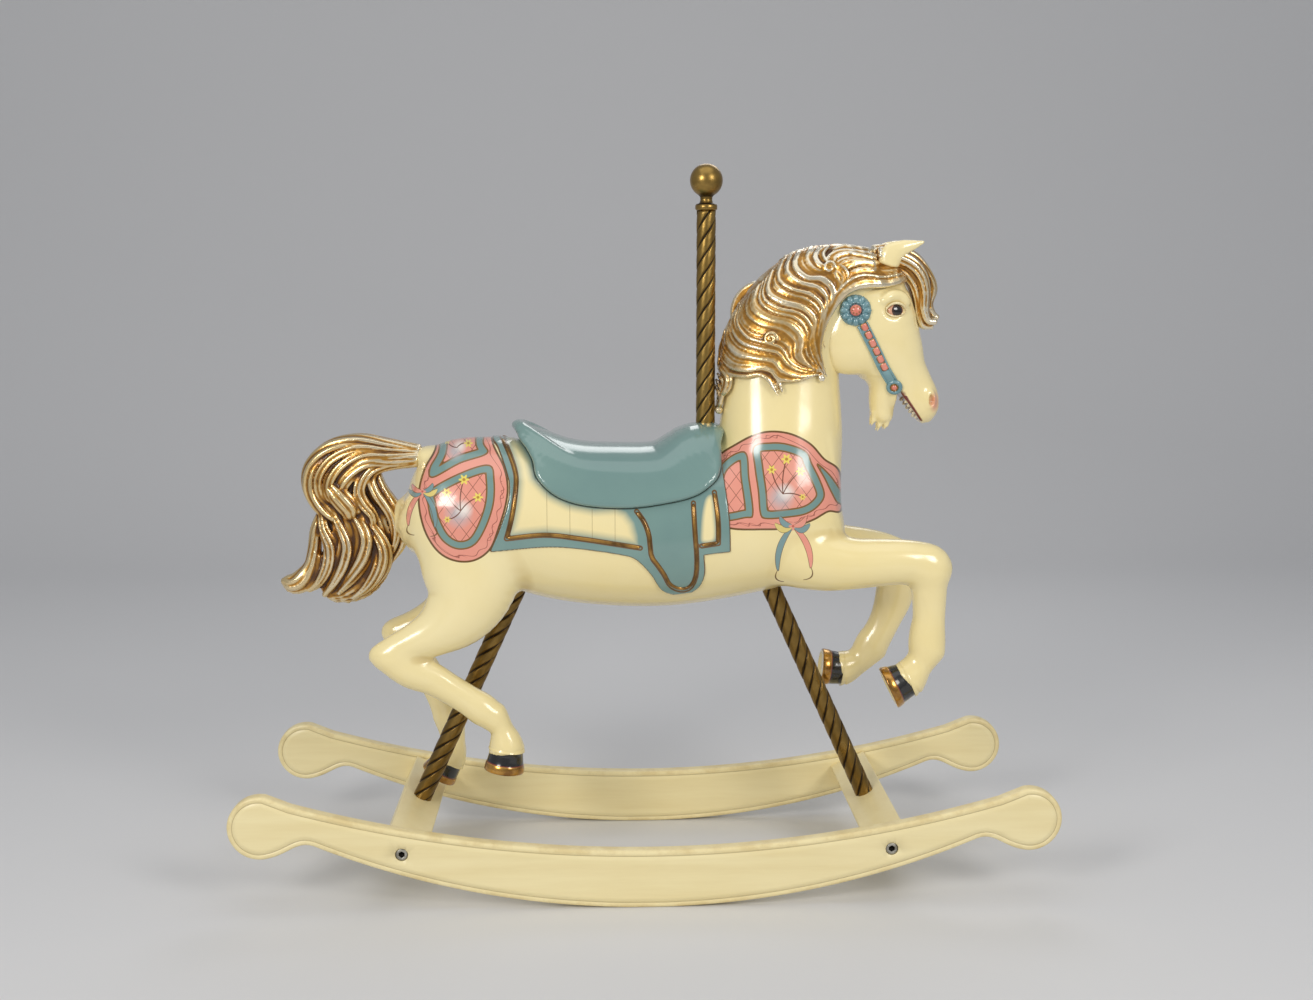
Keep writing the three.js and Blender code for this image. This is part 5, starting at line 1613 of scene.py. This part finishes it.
def finial(paint):
    base = POLE_TOP + 0.3
    collar = [(0.01, 0), (15.0, 0), (16.6, 0.8), (17.5, 2.5), (17.5, 7.5), (16.2, 9.6), (12.4, 10.6),
              (10.4, 12.5), (9.5, 16), (9.6, 20), (10.6, 22.0)]
    start = math.asin((base + 24 - BALL_Z) / BALL_R)
    ball = [(BALL_R * math.cos(a), BALL_Z - base + BALL_R * math.sin(a)) for a in np.linspace(start, 1.56, 30)]
    points, faces = lathe([(r, z) for r, z in collar + ball], 64)
    z = points[:, 2]
    groove = np.exp(-((z - 10.4) / 1.2) ** 2) + 0.8 * np.exp(-((z - 22.5) / 1.5) ** 2)
    shell = Shell()
    shell.add(points + (POLE_X, 0, base), faces, groove=groove)
    return shell.piece("finial", paint, "aged_brass")


# ------------------------------------------------------------------ rockers, crossbars and bolts


def sole_height(x):
    return SOLE_RADIUS - math.sqrt(SOLE_RADIUS**2 - x * x)


def rocker_outline():
    """The right half, from the middle of the sole round the paddle to the middle of the top, then the left."""
    sag = sole_height(SOLE_FLAT)
    right = [(SOLE_FLAT, 0.0)] + [(x, sole_height(x) - sag) for x in np.arange(45, 511, 15)]
    last = np.array(right[-1])
    lobe = np.array([PADDLE_X + PADDLE_R * math.cos(math.radians(-100)),
                     PADDLE_Z + PADDLE_R * math.sin(math.radians(-100))])
    for t in np.linspace(0, 1, 12)[1:]:
        a, b = last + (26, 10), lobe + (-34, 6)
        right.append(tuple((1 - t)**3 * last + 3 * (1 - t)**2 * t * a + 3 * (1 - t) * t * t * b + t**3 * lobe))
    for degrees in range(-95, 101, 5):
        turn = math.radians(degrees)
        right.append((PADDLE_X + PADDLE_R * math.cos(turn), PADDLE_Z + PADDLE_R * math.sin(turn)))
    for x in np.arange(545, 0, -15):
        right.append((x, TOP_LOW + TOP_RADIUS - math.sqrt(TOP_RADIUS**2 - x * x)))
    left = [(-x, z) for x, z in right][::-1]
    return np.array(right + left, float)


def flat_face(loop, holes):
    """Triangles over a flat outline with round holes, and the corners of outline and holes together."""
    runs = [loop] + holes
    corners = np.vstack(runs)
    edges, first = [], 0
    for run in runs:
        edges += [(first + i, first + (i + 1) % len(run)) for i in range(len(run))]
        first += len(run)
    made = delaunay_2d_cdt([Vector(c) for c in corners], edges, [], 1, 1e-7)
    places = np.array([tuple(v) for v in made[0]])
    original = [np.argmin(((corners - v) ** 2).sum(1)) for v in places]
    faces = [[original[i] for i in face] for face in made[2]]
    middles = np.array([corners[face].mean(0) for face in faces])
    kept = np.ones(len(faces), bool)
    for hole in holes:
        reach = np.linalg.norm(hole[0] - hole.mean(0)) * 0.98
        kept &= np.linalg.norm(middles - hole.mean(0), axis=1) > reach
    return [face for face, keep in zip(faces, kept) if keep]


def rocker(name, side, paint):
    """A board with rounded corners, a fine groove round both faces and a counterbore for each bolt head."""
    outline = rocker_outline()
    tangent = unit(np.roll(outline, -1, 0) - np.roll(outline, 1, 0))
    inward = np.stack([-tangent[:, 1], tangent[:, 0]], 1)
    half, corner, count = ROCKER_THICK / 2, ROCKER_CORNER, len(outline)
    arc = [math.radians(a) for a in range(0, 91, 15)]
    # each row: inset, height, share of rubbed edge, and the fine groove, which gets painted shade
    profile = [(corner * (1 - math.cos(a)), half - corner * (1 - math.sin(a)), 1.0, 0.0) for a in arc]
    profile += [(corner + 3.2, half, 0.3, 0.0), (corner + 3.6, half - 0.7, 0.2, 1.0),
                (corner + 4.4, half - 0.7, 0.0, 1.0), (corner + 4.8, half, 0.0, 0.0),
                (corner + ROCKER_RIM, half, 0.0, 0.0)]
    loops, edge, groove = [], [], []
    for inset, y, worn, dent in [(i, -y, w, d) for i, y, w, d in profile][::-1] + profile:
        loop = outline + inward * inset
        loops.append(np.stack([loop[:, 0], np.full(count, y + side * ROCKER_Y), loop[:, 1]], 1))
        edge.append(np.full(count, worn))
        groove.append(np.full(count, dent))
    faces = [face[::-1] for face in ring_faces(len(loops), count)[:-2]]
    turn = 2 * np.pi * np.arange(WELL_SIDES) / WELL_SIDES
    wells = [np.stack([end * BOLT_X + WELL_R * np.cos(turn), BOLT_Z + WELL_R * np.sin(turn)], 1)
             for end in (-1, 1)]
    last = (len(loops) - 1) * count
    total = len(loops) * count
    for at_back in (True, False):
        rim = outline + inward * (corner + ROCKER_RIM)
        outer = at_back == (side < 0)
        tris = flat_face(rim * MM, [w * MM for w in wells] if outer else [])
        first = 0 if at_back else last
        number = np.concatenate([np.arange(first, first + count), np.arange(total, total + 2 * WELL_SIDES)])
        faces += [[int(number[i]) for i in (face if at_back else face[::-1])] for face in tris]
    face_y = side * (ROCKER_Y + half)
    # painted shade in each bolt well, deeper towards its bottom
    steps = [(well, 0.0, 0.0) for well in wells]
    steps += [(well, deep, shade) for well in wells for deep, shade in ((0.8, 0.5), (WELL_DEEP, 1.0))]
    for well, deep, shade in steps:
        loops.append(np.stack([well[:, 0], np.full(WELL_SIDES, face_y - side * deep), well[:, 1]], 1))
        edge.append(np.zeros(WELL_SIDES))
        groove.append(np.full(WELL_SIDES, shade))
    for k in (0, 1):
        rings = [total + WELL_SIDES * step for step in (k, 2 + 2 * k, 3 + 2 * k)]
        for a, b in zip(rings[:-1], rings[1:]):
            pairs = [(j, (j + 1) % WELL_SIDES) for j in range(WELL_SIDES)]
            quads = [[a + j, a + after, b + after, b + j] for j, after in pairs]
            faces += quads if side < 0 else [quad[::-1] for quad in quads]
        base = [rings[-1] + j for j in range(WELL_SIDES)]
        faces.append(base if side < 0 else base[::-1])
    return make_piece(name, np.vstack(loops), faces, paint,
                      {"edge": np.concatenate(edge), "groove": np.concatenate(groove)})


def crossbar(name, end, paint):
    """A planed bar with eased edges, leaning as the post does."""
    half_w, half_t, ease = CROSSBAR_WIDTH / 2, CROSSBAR_THICK / 2, 2.5
    corners = []
    for quarter, (sx, sz) in enumerate(((1, 1), (-1, 1), (-1, -1), (1, -1))):
        for degrees in range(90 * quarter, 90 * quarter + 91, 18):
            turn = math.radians(degrees)
            corners.append((sx * (half_w - ease) + ease * math.cos(turn),
                            sz * (half_t - ease) + ease * math.sin(turn)))
    section = np.array(corners)
    x, z = leaned(section[:, 0], section[:, 1], -end * POST_LEAN)
    rings = []
    between_ends = np.linspace(150, -150, 9)
    for y in (CROSSBAR_HALF, CROSSBAR_HALF - 1.0, *between_ends, 1.0 - CROSSBAR_HALF, -CROSSBAR_HALF):
        rings.append(np.stack([x + end * BOLT_X, np.full(len(x), y), z + BOLT_Z], 1))
    faces = ring_faces(len(rings), len(section))
    zero = np.zeros(len(rings) * len(section))
    return make_piece(name, np.vstack(rings), faces, paint, {"edge": zero, "groove": zero})


def bolt(name, side, end, paint):
    """A socket head with a chamfered rim and a six-sided socket."""
    sides = 48
    angle = 2 * np.pi * np.arange(sides) / sides
    hexagon = BOLT_HEX * math.cos(math.pi / 6) / np.cos((angle + math.pi / 6) % (math.pi / 3) - math.pi / 6)
    # the third number darkens the hex socket with painted shade
    loops = [(0.01, -8.0, 0), (BOLT_R, -8.0, 0), (BOLT_R, -0.6, 0), (BOLT_R - 0.8, 0.0, 0),
             (hexagon + 0.7, 0.0, 0), (hexagon, -0.6, 0.4), (hexagon, -4.6, 1), (0.01, -5.0, 1)]
    points, groove = [], []
    for radius, height, dark in loops:
        points.append(np.stack([radius * np.cos(angle), radius * np.sin(angle), np.full(sides, height)], 1))
        groove.append(np.full(sides, float(dark)))
    at = (end * BOLT_X, side * (ROCKER_Y + ROCKER_THICK / 2 - 0.5), BOLT_Z)
    shell = Shell()
    faces = ring_faces(len(points), sides)
    shell.add(placed(np.vstack(points), at, (0, side, 0)), faces, groove=np.concatenate(groove))
    return shell.piece(name, paint, "bolt_steel")


# ------------------------------------------------------------------ the set, lights and camera


def cyclorama(paint):
    """A pale floor that curves up into a wall behind."""
    profile = [(SET_FRONT, 0.0), (SET_BEND, 0.0)]
    for a in np.radians(np.arange(6, 91, 6)):
        profile.append((SET_BEND + SET_RADIUS * math.sin(a), SET_RADIUS - SET_RADIUS * math.cos(a)))
    profile.append((SET_WALL, SET_TOP))
    points = [(x, y, z) for y, z in profile for x in (-SET_HALF, SET_HALF)]
    faces = [(2 * i, 2 * i + 1, 2 * i + 3, 2 * i + 2) for i in range(len(profile) - 1)]
    mesh = bpy.data.meshes.new("cyclorama")
    mesh.from_pydata(points, [], faces)
    mesh.polygons.foreach_set("use_smooth", np.ones(len(faces), bool))
    mesh.materials.append(paint)
    obj = bpy.data.objects.new("cyclorama", mesh)
    bpy.context.scene.collection.objects.link(obj)


def area_light(name, at, size, power, tint=(1, 1, 1)):
    """A rectangular lamp that looks at the middle of the object."""
    light = bpy.data.lights.new(name, "AREA")
    light.shape, light.size, light.size_y = "RECTANGLE", size[0], size[1]
    light.energy, light.color = power, tint
    obj = bpy.data.objects.new(name, light)
    aim = np.asarray(LIGHTS_AIM, float) - at
    obj.rotation_euler = Vector(aim).to_track_quat("-Z", "Y").to_euler()
    obj.location = at
    bpy.context.scene.collection.objects.link(obj)


def light_and_camera():
    world = bpy.data.worlds.new("studio")
    world.use_nodes = True
    back = world.node_tree.nodes["Background"]
    back.inputs["Color"].default_value = (0.86, 0.88, 0.92, 1)
    back.inputs["Strength"].default_value = 0.42
    bpy.context.scene.world = world
    area_light("key_left", (-2.1, -2.9, 2.0), (1.1, 1.1), 50, WARM_WHITE)
    area_light("key_right", (2.0, -2.6, 2.1), (1.1, 1.1), 36, WARM_WHITE)
    area_light("top", (0.0, -0.6, 3.2), (3.0, 2.2), 15)
    area_light("back", (0.6, 2.2, 2.4), (1.6, 1.0), 10)
    camera = bpy.data.cameras.new("camera")
    camera.lens, camera.sensor_width = CAMERA_LENS, CAMERA_SENSOR
    obj = bpy.data.objects.new("camera", camera)
    obj.location = CAMERA_AT
    obj.rotation_euler = (math.radians(90 - CAMERA_DOWN), 0, math.radians(-CAMERA_TURN))
    bpy.context.scene.collection.objects.link(obj)
    bpy.context.scene.camera = obj
    bpy.context.scene.view_settings.view_transform = "Standard"


def build():
    body = body_grid()
    skull = head_grid()
    enamel_blue = enamel("bridle_blue_enamel", "#7ca3a8", "#5f8790")
    horse = [
        horse_body(body, horse_paint()),
        head(skull, head_paint()),
        *eyes(skull, eye_paint(), enamel("eyelid_lacquer", "#ecdcab", "#d9bf8a")),
        teeth(enamel("teeth_enamel", "#e9dfc0", "#cfc09a")),
        *bridle(skull, enamel_blue, enamel("link_pink_enamel", "#e8907c", "#d8745f"), gold_paint("link_gold")),
        saddle(saddle_paint()),
        saddle_cloth(body, cloth_paint()),
        piping(body, gold_paint("piping_gold")),
    ]
    hair = hair_gold("mane_silvered_gold", 1.0)
    horse += [mane(hair), forelock(hair), tail(hair_gold("tail_gold_leaf", 0.6))]
    dark = hoof_paint()
    for name, (_, _, rows, _) in zip(HOOF_NAMES, LEGS):
        horse.append(hoof(name, rows, dark))
    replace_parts(horse[0], "horse")
    brass = aged_brass("pole_brass_patina", "#675024", "#9c7e42")
    dull_brass = aged_brass("post_brass_patina", "#4c3715", "#7d602c")
    wood, steel = rocker_paint(), bolt_steel()
    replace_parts(pole(brass), "pole")
    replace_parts(finial(brass), "ball_finial")
    for end, side in (("front", 1), ("rear", -1)):
        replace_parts(post(f"{end}_twisted_post", side, dull_brass), f"{end}_post")
        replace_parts(crossbar(f"{end}_bar", side, wood), f"{end}_crossbar")
    for flank, side in (("near", NEAR_SIDE), ("far", FAR_SIDE)):
        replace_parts(rocker(f"{flank}_rocker_board", side, wood), f"{flank}_rocker")
        for end, way in (("front", 1), ("rear", -1)):
            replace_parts(bolt(f"{flank}_{end}_bolt", side, way, steel), f"bolt_{flank}_{end}")


build()
cyclorama(plain("backdrop_paper", "#d9d9da", 0.8))
light_and_camera()
